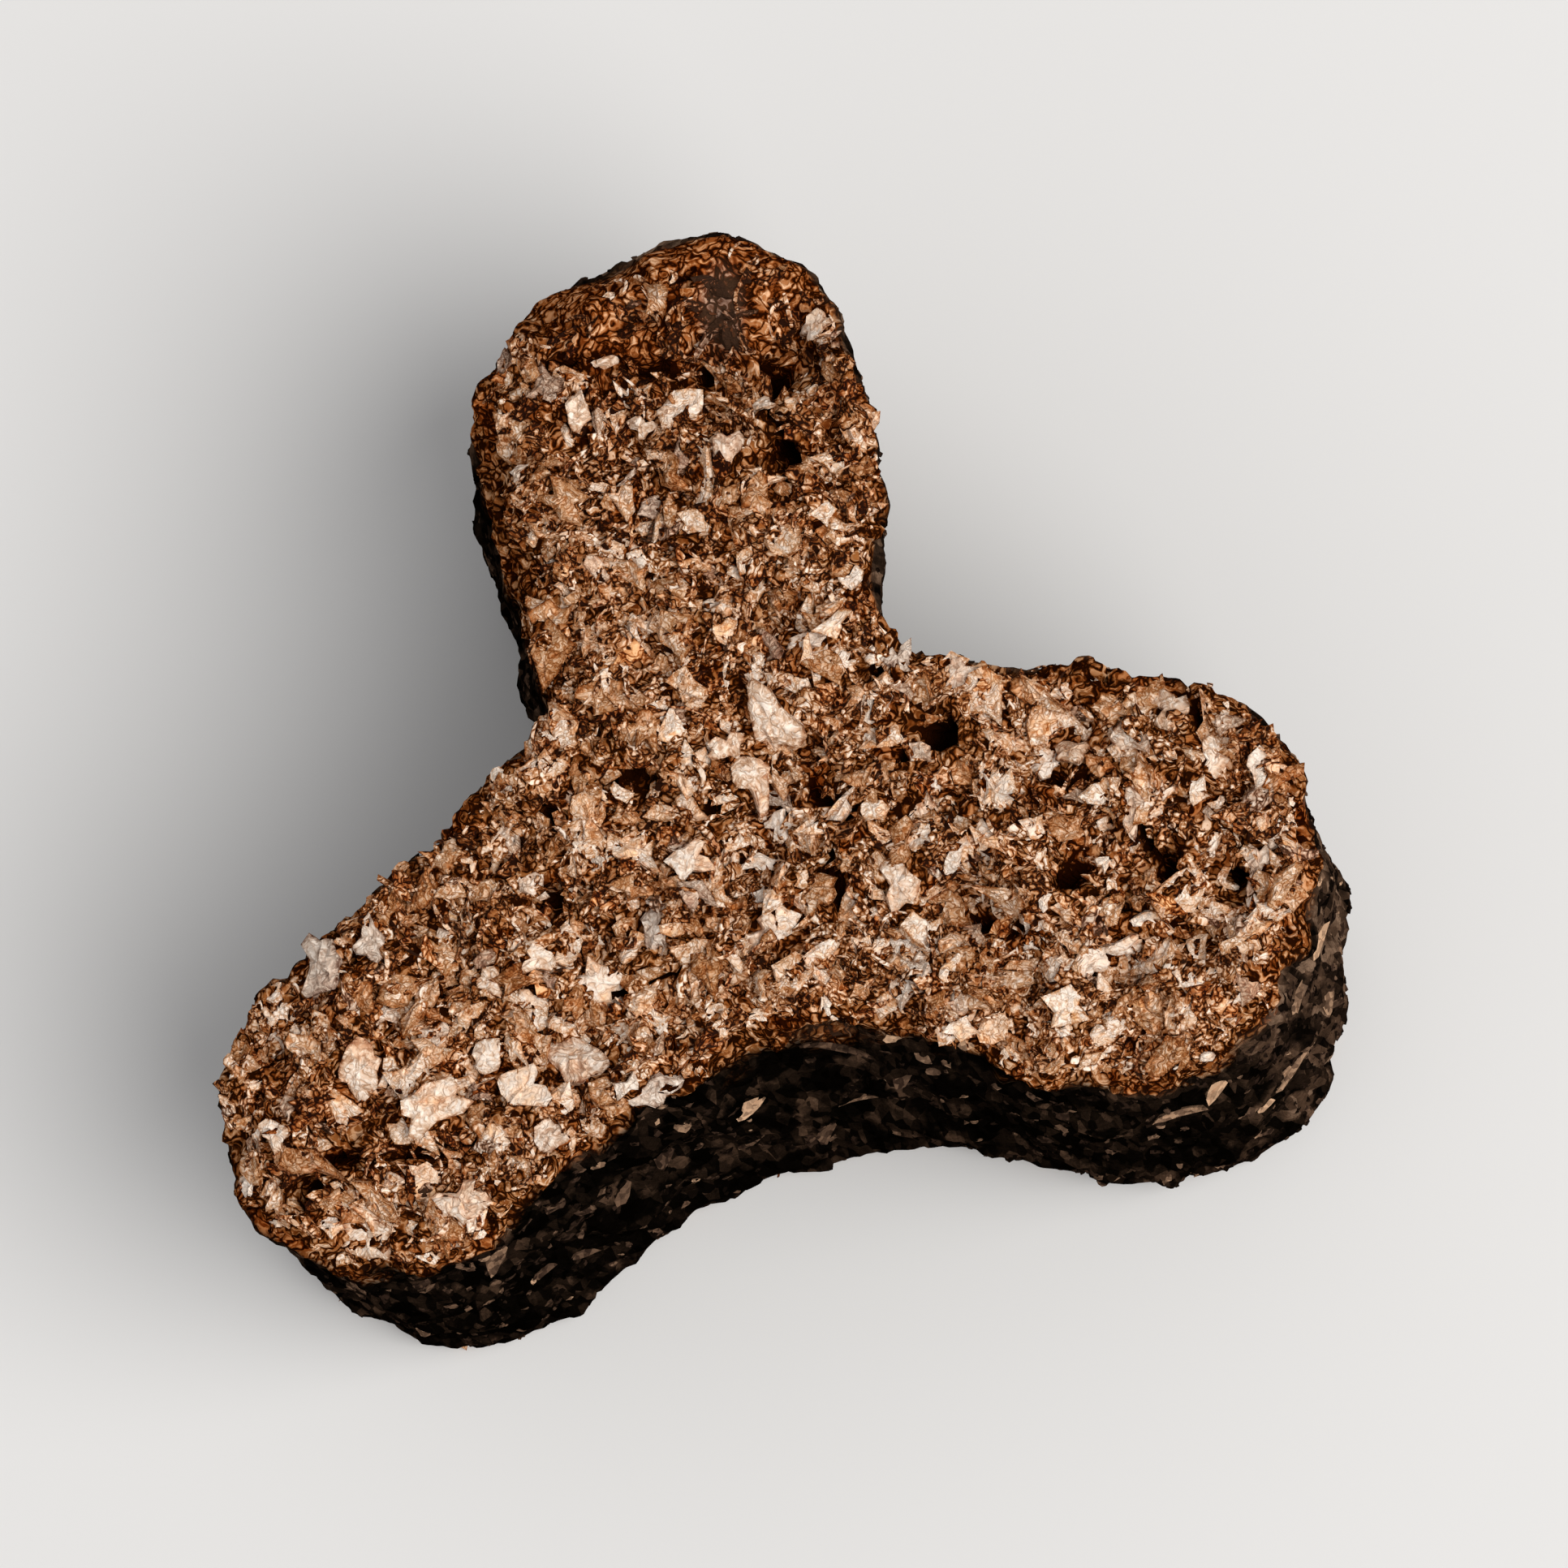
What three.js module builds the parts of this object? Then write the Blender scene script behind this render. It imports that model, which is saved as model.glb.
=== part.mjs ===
// A soft dog treat: one slice of a three-lobed strand of coarse dough, about 16 mm across.
// Millimetres, +Z up. The treat lies on its lower cut at z = 0, with the origin at the middle of its box.
// Seen from above, one lobe points to +X, one to +Y and the third between -X and -Y.
import * as THREE from 'three';
import { ParametricGeometry } from 'three/addons/geometries/ParametricGeometry.js';
import { ImprovedNoise } from 'three/addons/math/ImprovedNoise.js';
import { mergeGeometries, mergeVertices } from 'three/addons/utils/BufferGeometryUtils.js';

const { clamp, degToRad, euclideanModulo, lerp, radToDeg, seededRandom, smoothstep } = THREE.MathUtils;

// The three lobes as this slice has them, counterclockwise. Of each: its heading from the middle in
// degrees, the reach of its tip, the radius of its round end, half its width where it leaves the middle and
// the radius of the upper rim at its tip. Then the heading of the notch after it, and how far the fillet
// there reaches.
const LOBES = [
	{ heading: - 10, reach: 8.3, end: 3.05, neck: 1.4, rim: 0.6, notch: 43, fillet: 2.3 },
	{ heading: 99, reach: 8.15, end: 2.9, neck: 2.2, rim: 1.1, notch: 159, fillet: 0.9 },
	{ heading: 219, reach: 8.8, end: 2.4, neck: 2.5, rim: 0.7, notch: 290, fillet: 3.2 },
];
const OUTLINE_WITHIN = 12; // the outline doesn't reach this radius

// Where the slice is fuller or leaner than its round lobes: a heading and a spread in degrees, and what share
// of its reach it gains there at the upper cut and at the lower one.
const UNEVEN = [
	{ heading: 4, spread: 9, above: 0.02, below: 0.01 },
	{ heading: 21, spread: 9, above: - 0.05, below: - 0.05 },
	{ heading: 36, spread: 8, above: - 0.03, below: - 0.03 },
	{ heading: 59, spread: 9, above: - 0.05, below: - 0.05 },
	{ heading: 82, spread: 11, above: 0.055, below: 0.04 },
	{ heading: 112, spread: 10, above: - 0.035, below: - 0.03 },
	{ heading: 130, spread: 9, above: - 0.02, below: - 0.13 },
	{ heading: 147, spread: 8, above: - 0.05, below: - 0.09 },
	{ heading: 190, spread: 12, above: - 0.04, below: - 0.04 },
	{ heading: 224, spread: 10, above: - 0.015, below: - 0.04 },
	{ heading: 283, spread: 30, above: 0, below: 0.2 },
	{ heading: 338, spread: 10, above: 0, below: 0.035 },
];

// The slice: its thickness, how far its lower cut has slipped sideways from its upper one, how much further
// it has slipped to -X with each millimetre towards +Y, and how far its soft walls swell half way up.
const THICKNESS = 9;
const SLIP = new THREE.Vector2( - 0.83, - 0.9 );
const LEAN = 0.1;
const BARREL = 0.1;

// The rims: crisp on the upper cut where the lobes meet, rounder towards the tips, and pressed round below.
const RIM_AT_NOTCH = 0.3;
const RIM_BELOW = 0.5;
const TIP_STARTS = 5.4; // distance from the middle where a rim begins to get rounder
const TIP_ENDS = 8.2;

// The crumb of the cuts: chips of bran that stand as small tilted plates, some of them fallen out, on the
// slow rise and fall of a torn face.
const CHIP_SIZE = 0.75;
const CHIP_SPREAD = 0.28; // how far one chip blends into the next, as a share of its size
const CHIP_HEIGHT = 0.23;
const CHIP_TILT = 0.8;
const PIT_SHARE = 0.09;
const PIT_DEPTH = 0.6;
const SWELL_LENGTH = 4.2;
const SWELL_HEIGHT = 0.26;
const CUT_STARTS = 0.25; // upright part of the surface's direction at which the crumb begins
const CUT_ENDS = 0.8;

// The walls: the die has pressed the chips flat and drawn shallow furrows along the strand.
const WALL_CHIP_SHARE = 0.4;
const FURROW_WIDTH = 0.85;
const FURROW_LENGTH = 7;
const FURROW_DEPTH = 0.22;

// The lower cut lies pressed against its support, and is flat at its middle out to this radius.
const FLAT_SPOT = 2;
const FLAT_SPOT_FADES = 3;

// Mesh fineness: steps across a lobe, along it and up a wall.
const ACROSS = 18;
const ALONG = 22;
const UP = 14;
const ROUND = 2 * ALONG + ACROSS; // steps along one lobe's outline, from notch to notch
const ARC_DIVISIONS = 1800;
const HALVINGS = 40; // halvings that find where a ray meets the outline
const MERGE_DISTANCE = 1e-3;
const CELL_PRIMES = [ 73856093, 19349663, 83492791 ]; // give each chip's cell a seed of its own

// Distance to one lobe on the plane, negative inside: a strip that widens from its neck to its round end.
function distanceToLobe( x, y, lobe ) {

	const angle = degToRad( lobe.heading );
	const along = x * Math.cos( angle ) + y * Math.sin( angle );
	const aside = y * Math.cos( angle ) - x * Math.sin( angle );
	const endAt = lobe.reach - lobe.end;
	const share = clamp( along / endAt, 0, 1 );
	const halfWidth = lerp( lobe.neck, lobe.end, smoothstep( share, 0, 1 ) );
	return Math.hypot( along - share * endAt, aside ) - halfWidth;

}

// The nearer of two distances, run together over a fillet.
function filletedDistance( a, b, fillet ) {

	const overlap = Math.max( 1 - Math.abs( a - b ) / fillet, 0 );
	return Math.min( a, b ) - overlap * overlap * fillet / 4;

}

// Distance to the whole outline on the plane, negative inside.
function distanceToOutline( x, y ) {

	const distances = LOBES.map( ( lobe ) => distanceToLobe( x, y, lobe ) );
	return Math.min( ...LOBES.map( ( lobe, i ) =>
		filletedDistance( distances[ i ], distances[ ( i + 1 ) % LOBES.length ], lobe.fillet ) ) );

}

// The closed outline, counterclockwise from +X: each point is where a ray from the middle leaves the lobes.
class Outline extends THREE.Curve {

	getPoint( t, target = new THREE.Vector2() ) {

		target.set( Math.cos( 2 * Math.PI * t ), Math.sin( 2 * Math.PI * t ) );
		let inside = 0;
		let outside = OUTLINE_WITHIN;
		for ( let i = 0; i < HALVINGS; i ++ ) {

			const middle = ( inside + outside ) / 2;
			if ( distanceToOutline( middle * target.x, middle * target.y ) < 0 ) inside = middle;
			else outside = middle;

		}

		return target.multiplyScalar( inside );

	}

}

const outline = new Outline();
outline.arcLengthDivisions = ARC_DIVISIONS;

// Where each lobe's outline ends: the share of the whole length that lies before the notch after the lobe.
const lengths = outline.getLengths();
const NOTCHES = LOBES.map( ( { notch } ) => lengths[ notch * ARC_DIVISIONS / 360 ] / lengths.at( - 1 ) );

// The outline's point at a step of one lobe, from 0 at the notch before it to ROUND at the notch after it.
function outlinePoint( lobe, step ) {

	const from = NOTCHES.at( lobe - 1 );
	const span = euclideanModulo( NOTCHES[ lobe ] - from, 1 );
	return outline.getPointAt( step === ROUND ? NOTCHES[ lobe ] : ( from + span * step / ROUND ) % 1 );

}

// A point of one lobe's plan, stretched between its two sides, its tip and the lines from the middle to its
// notches. u runs across it, from the left side as seen looking outwards, and v from the middle to the tip.
function planPoint( lobe, u, v ) {

	const notchLeft = outlinePoint( lobe, ROUND );
	const notchRight = outlinePoint( lobe, 0 );
	const base = u < 0.5
		? notchLeft.clone().multiplyScalar( 1 - 2 * u )
		: notchRight.clone().multiplyScalar( 2 * u - 1 );
	return new THREE.Vector2()
		.addScaledVector( outlinePoint( lobe, ROUND - ALONG * v ), 1 - u )
		.addScaledVector( outlinePoint( lobe, ALONG * v ), u )
		.addScaledVector( base, 1 - v )
		.addScaledVector( outlinePoint( lobe, ALONG + ACROSS * ( 1 - u ) ), v )
		.addScaledVector( notchLeft, - ( 1 - u ) * ( 1 - v ) )
		.addScaledVector( notchRight, - u * ( 1 - v ) )
		.addScaledVector( outlinePoint( lobe, ROUND - ALONG ), - ( 1 - u ) * v )
		.addScaledVector( outlinePoint( lobe, ALONG ), - u * v );

}

// How far a round rim has fallen away from its face at a plan point.
function rimDrop( plan, radius ) {

	const over = clamp( 1 + distanceToOutline( plan.x, plan.y ) / radius, 0, 1 );
	return radius * ( 1 - Math.sqrt( 1 - over * over ) );

}

function upperHeight( plan, lobe ) {

	const towardsTip = smoothstep( plan.length(), TIP_STARTS, TIP_ENDS );
	return THICKNESS - rimDrop( plan, lerp( RIM_AT_NOTCH, LOBES[ lobe ].rim, towardsTip ) );

}

function lowerHeight( plan ) {

	return rimDrop( plan, RIM_BELOW );

}

// How full the slice is at a plan point and a level between its cuts, 1 where it is just as its lobes are.
function fullness( plan, level ) {

	return UNEVEN.reduce( ( sum, { heading, spread, above, below } ) => {

		const away = euclideanModulo( radToDeg( plan.angle() ) - heading + 180, 360 ) - 180;
		return sum + lerp( below, above, level ) * Math.exp( - ( ( away / spread ) ** 2 ) );

	}, 1 );

}

// Puts a plan point at its height, with the slip and the lean of the slice and the swell of its walls.
function place( plan, height, target ) {

	const level = height / THICKNESS;
	const reach = plan.length() * fullness( plan, level );
	const swell = BARREL * Math.sin( Math.PI * level ) * reach / TIP_ENDS;
	const spot = plan.clone().setLength( reach + swell ).addScaledVector( SLIP, 1 - level );
	target.set( spot.x - LEAN * plan.y * ( 1 - level ), spot.y, height );

}

function upperCut( lobe ) {

	return new ParametricGeometry( ( u, v, target ) => {

		const plan = planPoint( lobe, u, v );
		place( plan, upperHeight( plan, lobe ), target );

	}, ACROSS, ALONG );

}

function lowerCut( lobe ) {

	return new ParametricGeometry( ( u, v, target ) => {

		const plan = planPoint( lobe, 1 - u, v );
		place( plan, lowerHeight( plan ), target );

	}, ACROSS, ALONG );

}

function wall( lobe ) {

	return new ParametricGeometry( ( u, v, target ) => {

		const plan = outlinePoint( lobe, u * ROUND );
		place( plan, lerp( lowerHeight( plan ), upperHeight( plan, lobe ), v ), target );

	}, ROUND, UP );

}

// The chip in one cell of the dough: where it sits, how high it stands and which way it tilts.
function chipInCell( cell ) {

	const seed = cell.reduce( ( sum, value, axis ) => sum ^ ( value * CELL_PRIMES[ axis ] ), 0 );
	const isPit = seededRandom( seed ) < PIT_SHARE;
	return {
		height: isPit ? - PIT_DEPTH : lerp( - CHIP_HEIGHT, CHIP_HEIGHT, seededRandom() ),
		middle: cell.map( ( value ) => value + seededRandom() ),
		tilt: cell.map( () => CHIP_TILT * ( seededRandom() - 0.5 ) ),
	};

}

// The crumb's height at a point: the tilted chips around it, each blended into the next.
function crumbHeight( point ) {

	const spot = point.toArray().map( ( value ) => value / CHIP_SIZE );
	const [ xs, ys, zs ] = spot.map( Math.floor ).map( ( cell ) => [ cell - 1, cell, cell + 1 ] );
	let sum = 0;
	let weights = 0;
	for ( const x of xs ) for ( const y of ys ) for ( const z of zs ) {

		const chip = chipInCell( [ x, y, z ] );
		const offset = spot.map( ( value, axis ) => value - chip.middle[ axis ] );
		const rise = offset.reduce( ( height, value, axis ) => height + value * chip.tilt[ axis ], 0 );
		const weight = Math.exp( - 0.5 * ( Math.hypot( ...offset ) / CHIP_SPREAD ) ** 2 );
		sum += weight * ( chip.height + rise );
		weights += weight;

	}

	return sum / weights;

}

const noise = new ImprovedNoise();

// How far the surface stands out at a point of the smooth slice: crumb on the cuts, furrows on the walls.
function relief( point, normal ) {

	const cut = smoothstep( Math.abs( normal.z ), CUT_STARTS, CUT_ENDS );
	const swell = noise.noise( point.x / SWELL_LENGTH, point.y / SWELL_LENGTH, point.z / SWELL_LENGTH );
	const furrow = noise.noise( point.x / FURROW_WIDTH, point.y / FURROW_WIDTH, point.z / FURROW_LENGTH );
	return SWELL_HEIGHT * swell + FURROW_DEPTH * furrow * ( 1 - cut )
		+ crumbHeight( point ) * lerp( WALL_CHIP_SHARE, 1, cut );

}

// Gives the smooth slice its relief, pressed flat where the lower cut would stand below its support.
function roughen( slice ) {

	slice.computeVertexNormals();
	const position = slice.getAttribute( 'position' );
	const point = new THREE.Vector3();
	const normal = new THREE.Vector3();
	for ( let i = 0; i < position.count; i ++ ) {

		point.fromBufferAttribute( position, i );
		normal.fromBufferAttribute( slice.getAttribute( 'normal' ), i );
		const isBelow = normal.z < - CUT_ENDS;
		const fromMiddle = Math.hypot( point.x, point.y );
		const share = isBelow ? smoothstep( fromMiddle, FLAT_SPOT, FLAT_SPOT_FADES ) : 1;
		point.addScaledVector( normal, share * relief( point, normal ) );
		position.setXYZ( i, point.x, point.y, Math.max( point.z, 0 ) );

	}

	return slice;

}

function treatGeometry() {

	const skins = LOBES.flatMap( ( lobe, i ) => [ upperCut( i ), lowerCut( i ), wall( i ) ] );
	const joined = mergeGeometries( skins );
	joined.deleteAttribute( 'normal' );
	joined.deleteAttribute( 'uv' );
	const slice = roughen( mergeVertices( joined, MERGE_DISTANCE ) );
	slice.computeBoundingBox();
	const middle = slice.boundingBox.getCenter( new THREE.Vector3() );
	return slice.translate( - middle.x, - middle.y, 0 );

}

const dough = new THREE.MeshStandardMaterial( {
	name: 'dough',
	color: 0x936c51,
	roughness: 0.85,
	metalness: 0,
} );
const treat = new THREE.Mesh( treatGeometry(), dough );
treat.name = 'treat';

const part = new THREE.Group();
part.add( treat );

export default part;
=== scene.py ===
import bmesh
import bpy
import numpy as np
from mathutils import Matrix, Vector, noise
from mathutils.bvhtree import BVHTree
from mathutils.kdtree import KDTree


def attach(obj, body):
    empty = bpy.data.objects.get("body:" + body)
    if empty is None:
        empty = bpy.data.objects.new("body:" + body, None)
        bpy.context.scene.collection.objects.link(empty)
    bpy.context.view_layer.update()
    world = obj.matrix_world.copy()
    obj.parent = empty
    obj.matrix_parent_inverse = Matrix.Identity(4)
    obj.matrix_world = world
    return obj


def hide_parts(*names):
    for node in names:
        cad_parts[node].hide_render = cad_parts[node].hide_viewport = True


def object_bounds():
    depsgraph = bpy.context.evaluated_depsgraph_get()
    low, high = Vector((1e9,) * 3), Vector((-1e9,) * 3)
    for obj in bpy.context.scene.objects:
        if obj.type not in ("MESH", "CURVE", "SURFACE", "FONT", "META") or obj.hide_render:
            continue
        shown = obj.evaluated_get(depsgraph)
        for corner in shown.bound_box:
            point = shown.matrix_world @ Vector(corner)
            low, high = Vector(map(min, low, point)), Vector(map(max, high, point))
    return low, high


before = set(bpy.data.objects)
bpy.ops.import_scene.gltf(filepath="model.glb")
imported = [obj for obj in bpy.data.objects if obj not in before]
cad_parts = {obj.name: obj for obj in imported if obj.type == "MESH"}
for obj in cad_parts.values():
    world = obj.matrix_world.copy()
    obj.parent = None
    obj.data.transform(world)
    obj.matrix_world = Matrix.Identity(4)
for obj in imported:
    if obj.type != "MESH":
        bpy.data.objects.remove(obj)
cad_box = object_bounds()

# The body: a thick slice of a three-lobed strand of soft baked dough. Its two cuts are torn crumb, and the
# walls between them were pressed smooth and dark by the die. It keeps the solid's form, on an even net of
# points that is fine enough to carry the crumb.
# Sizes are in millimetres. A waver, a wander and a patchiness are each a strength and a size.
MM = 0.001
BODY_STEP = 0.1  # between the net's points
SAME_POINT = 1e-4  # corners of the solid that are closer than this are one
BODY_SEED = 11
FLAKE_ROOM = 0.07  # the body ends this far above its support, and its flakes reach down to it
CREASE = np.radians(38)  # sharper bends than this stay crisp

# where crumb turns into wall, by the upright part of the skin's blurred direction
CUT_BLUR = 32  # rounds of averaging
CUT_EDGE = (0.33, 0.49)
CUT_WAVER = (0.16, 0.7)
CUT_OVER = 0.1  # how much further the crumb of the upper cut comes over its rim
END_OVER, END_X, END_Y = 0.2, (5.2, 7.2), (-2.9, -1.9)  # and how much further again at the first lobe's tip
SIDE_OVER, SIDE_X, SIDE_Y = 0.16, (-2.2, -2.8), (0.4, 1.2)  # and along the left side of the second lobe
LOWER_BACK = 0.3  # how much sooner the crumb of the lower cut ends
UPPER_EDGE = (7.4, 8.1)  # heights between which the crumb of the upper cut can begin
RAGGED = (0.06, 0.5)  # the rims' small dents

# the crumb of the cuts: chips, the finer meal between them, the cracks round both, and pores
CHIP_SIZE, CHIP_RISE, CHIP_TILT = 0.46, 0.07, 0.34
MEAL_SIZE, MEAL_RISE = 0.24, 0.035
CRACK_WIDTH, CRACK_DEPTH = 0.05, 0.1
MEAL_CRACK_WIDTH, MEAL_CRACK_DEPTH = CRACK_WIDTH / 2, CRACK_DEPTH / 3
PORE_SIZE, PORE_SHARE, PORE_DEPTH = 0.8, 0.14, 0.34
PORE_REACH = (0.12, 0.28)  # of the smallest pore and of the largest
PORE_WALL = (0.5, 1.25)  # its wall lies between these shares of its reach

# the deepest pores of the upper cut: x, y and radius
HOLES = [
    (4.63, -1.36, 0.25), (5.91, -1.32, 0.24), (6.9, -1.54, 0.12), (2.73, 0.59, 0.22), (2.28, 0.29, 0.13),
    (-5.57, -5.28, 0.17), (-6.14, -5.8, 0.2), (0.48, 5.7, 0.17), (0.59, 4.5, 0.15), (-5.5, -2.5, 0.1),
]
HOLE_DEPTH = 0.9
HOLE_WALL = np.array([0.5, 1.3])
HOLE_SHADE = np.array([0.6, 1.2])
HOLE_CLEAR = np.array([0.08, 0.34])  # how far round a hole the crumb stays free of flakes
HOLE_WAVER = (0.1, 0.4)

# the folds where the crumb has torn: x and y of their two ends
FOLDS = [
    ((-6.2, -5.9), (-5.5, -5.2)), ((-5.4, -5.3), (-3.7, -5.1)), ((-2.9, -3.2), (-2.75, -3.9)),
    ((-1.9, -3.0), (-0.9, -2.75)), ((0.9, -0.2), (1.5, -0.5)), ((-0.7, -0.35), (-0.25, -0.4)),
    ((2.6, -2.0), (3.9, -2.2)), ((5.6, -1.0), (5.6, -0.4)), ((5.1, -1.8), (6.3, -2.3)),
    ((4.4, -0.1), (5.3, -0.1)), ((6.3, 0.9), (6.7, 0.3)), ((-2.6, 5.75), (-0.6, 5.7)),
    ((0.35, 5.3), (0.65, 4.2)), ((-1.6, -0.1), (-1.4, 0.5)), ((1.2, -1.2), (1.5, -1.9)),
]
FOLD_WIDTH, FOLD_DEPTH = 0.11, 0.36
FOLD_CLEAR = 0.15  # half the width that stays free of flakes along a fold
FOLD_WANDER = (0.16, 0.5)

# where the knife has smeared the tip of one lobe, and the dark grey band across that smear
SMEAR_MIDDLE, SMEAR_REACH, SMEAR_EDGE = (-0.9, 6.9), (2.7, 1.35), (0.65, 1.1)
SMEAR_WAVER = (0.3, 1.1)
SMUDGE_MIDDLE, SMUDGE_REACH, SMUDGE_EDGE = (-0.27, 6.6), (0.34, 0.75), (0.6, 1.2)
SMUDGE_WAVER = (0.4, 0.5)
SMEAR_FLATTENS = 0.75  # share of the crumb's relief that the smear has filled

# the walls: flush chips, furrows drawn along the strand, lumps, brown patches, and painted light and shade:
# darkest facing -Y, paler round the first lobe's tip
WALL_CHIP_SIZE, WALL_CHIP_STRETCH, WALL_CHIP_RISE = 0.4, 2.0, 0.04
DRAG_LENGTH, DRAG_WIDTH, DRAG_DEPTH = 2.6, 0.2, 0.03
WALL_LUMPS = (0.05, 0.4)
PAINTED_LIGHT_END = (6.4, 7.8)  # x over which the wall round the first lobe's tip is painted paler, as painted light
PAINTED_SHADE_FACING = (-0.5, 0.3)  # y of the direction it faces over which a wall is painted paler; those towards -Y keep the darkest painted shade
BROWN_PATCHES, PALEST_WALL = (0.5, 2.6), 1.3
BROWN_AND_PAINTED_LIFT = 0.55

# painted shade: what lies low, in a hole or along a fold is painted darker
PAINTED_SHADE_BLUR = 12
PAINTED_SHADE_RANGE = (0.02, 0.18)
HOLE_PAINTED_SHADE = 0.8

# how the chips, the meal, the smear and the smudge change the tone and the look
CHIP_SHARE, MEAL_SHARE = 0.6, 0.4
SMEAR_PALER, SMUDGE_DARKER = 0.35, 1.2
SMEAR_TOAST, SMUDGE_GREY = 0.6, 0.6


def even_net(node, step):
    """An even net over a CAD node's skin: points (mm), four-cornered faces, edges and point directions."""
    mesh = bpy.data.meshes.new("net")
    shell = bmesh.new()
    shell.from_mesh(node.data)
    bmesh.ops.scale(shell, vec=(1 / MM,) * 3, verts=shell.verts)
    bmesh.ops.remove_doubles(shell, verts=shell.verts, dist=SAME_POINT)
    shell.to_mesh(mesh)
    shell.free()
    holder = bpy.data.objects.new("net", mesh)
    bpy.context.collection.objects.link(holder)
    remesh = holder.modifiers.new("even", "REMESH")
    remesh.mode = "VOXEL"
    remesh.voxel_size = step
    net = bpy.data.meshes.new_from_object(holder.evaluated_get(bpy.context.evaluated_depsgraph_get()))
    bpy.data.objects.remove(holder)

    def read(items, key, width, kind):
        values = np.zeros(len(items) * width, kind)
        items.foreach_get(key, values)
        return values.reshape(-1, width)

    sizes = read(net.polygons, "loop_total", 1, int)
    assert (sizes == 4).all(), "the even net has faces that aren't four-cornered"
    points = read(net.vertices, "co", 3, float)
    faces = read(net.loops, "vertex_index", 1, int).reshape(-1, 4)
    edges = read(net.edges, "vertices", 2, int)
    return points, faces, edges, read(net.vertex_normals, "vector", 3, float)


def averaged(values, edges, rounds):
    """Each point's value, averaged with those of its neighbours that many times over."""
    a, b = edges.T
    share = 1 + np.bincount(a, minlength=len(values)) + np.bincount(b, minlength=len(values))
    for _ in range(rounds):
        columns = []
        for column in values.reshape(len(values), -1).T:
            sums = np.bincount(a, column[b], len(values)) + np.bincount(b, column[a], len(values))
            columns.append((column + sums) / share)
        values = np.stack(columns, 1).reshape(values.shape)
    return values


def ramp(values, low, high):
    """0 at low, 1 at high, a smooth change between and no change beyond."""
    t = np.clip((values - low) / (high - low), 0, 1)
    return t * t * (3 - 2 * t)


def bell(distance, width):
    return np.exp(-((distance / width) ** 2))


def unit(vectors):
    return vectors / np.linalg.norm(vectors, axis=-1, keepdims=True)


def waves(points, strength, size, seed):
    """Slow noise over the points, from about minus the strength to the strength."""
    shift = np.array([seed * 7.3, seed * 3.1, seed * 5.7])
    return strength * np.array([noise.noise(Vector(p)) for p in points / size + shift])


def tree_of(points):
    tree = KDTree(len(points))
    for i, point in enumerate(points):
        tree.insert(point, i)
    tree.balance()
    return tree


def chips(points, size, seed):
    """The chip that each point lies on, of many scattered through the dough: its number, the point's offset
    from its middle, how far the point is from the next chip, and five draws for each chip."""
    draw = np.random.default_rng(seed)
    low, high = points.min(0) - size, points.max(0) + size
    count = int(np.prod((high - low) / size))
    middles = draw.uniform(low, high, (count, 3))
    tree = tree_of(middles)
    nearest = [tree.find_n(p, 2) for p in points]
    number = np.array([found[0][1] for found in nearest])
    gap = np.array([found[1][2] - found[0][2] for found in nearest])
    return number, points - middles[number], gap, draw.random((count, 5))


points, faces, edges, directions = even_net(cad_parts["treat"], BODY_STEP)
smooth = unit(averaged(directions, edges, CUT_BLUR))
is_upper = smooth[:, 2] > 0
over = CUT_OVER + END_OVER * ramp(points[:, 0], *END_X) * ramp(points[:, 1], *END_Y)
over += SIDE_OVER * ramp(points[:, 0], *SIDE_X) * ramp(points[:, 1], *SIDE_Y)
over = np.where(is_upper, over, -LOWER_BACK)
cut = np.abs(smooth[:, 2]) + over + waves(points, *CUT_WAVER, seed=2)
cut = ramp(cut, *CUT_EDGE) * np.where(is_upper, ramp(points[:, 2], *UPPER_EDGE), 1)
rim = 1 - np.abs(2 * cut - 1)


def round_patch(middle, reach, edge, waver, seed):
    """1 well inside a round patch of the plan and 0 outside it, with a wavering edge."""
    offset = (points[:, :2] - middle) / reach
    return 1 - ramp(np.hypot(*offset.T) + waves(points, *waver, seed), *edge)


smear = cut * is_upper * round_patch(SMEAR_MIDDLE, SMEAR_REACH, SMEAR_EDGE, SMEAR_WAVER, seed=9)
smudge = smear * round_patch(SMUDGE_MIDDLE, SMUDGE_REACH, SMUDGE_EDGE, SMUDGE_WAVER, seed=10)

number, offset, gap, traits = chips(points, CHIP_SIZE, BODY_SEED)
tilt = (traits[number, :3] - 0.5) * CHIP_TILT
chip_relief = (traits[number, 3] * 2 - 1) * CHIP_RISE + (tilt * offset).sum(1)
chip_relief -= CRACK_DEPTH * np.exp(-gap / CRACK_WIDTH)
chip_tone = traits[number, 4]

number, _, gap, traits = chips(points, MEAL_SIZE, BODY_SEED + 1)
meal_relief = (traits[number, 3] * 2 - 1) * MEAL_RISE - MEAL_CRACK_DEPTH * np.exp(-gap / MEAL_CRACK_WIDTH)
meal_tone = traits[number, 4]

number, offset, _, traits = chips(points, PORE_SIZE, BODY_SEED + 2)
pore_reach = np.interp(traits[number, 3], (0, 1), PORE_REACH)
is_pore = traits[number, 4] < PORE_SHARE
pore = is_pore * (1 - ramp(np.linalg.norm(offset, axis=1) / pore_reach, *PORE_WALL)) * PORE_DEPTH
kept_open = np.zeros(len(points))  # where no flakes lie, round the holes and along the folds
shade = np.zeros(len(points))  # how deep in a hole
hole_waver = waves(points, *HOLE_WAVER, seed=3)
for x, y, radius in HOLES:
    from_middle = np.hypot(points[:, 0] - x, points[:, 1] - y) + hole_waver
    pore = np.maximum(pore, is_upper * HOLE_DEPTH * (1 - ramp(from_middle, *(radius * HOLE_WALL))))
    kept_open = np.maximum(kept_open, is_upper * (1 - ramp(from_middle, *(radius + HOLE_CLEAR))))
    shade = np.maximum(shade, is_upper * (1 - ramp(from_middle, *(radius * HOLE_SHADE))))

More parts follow.
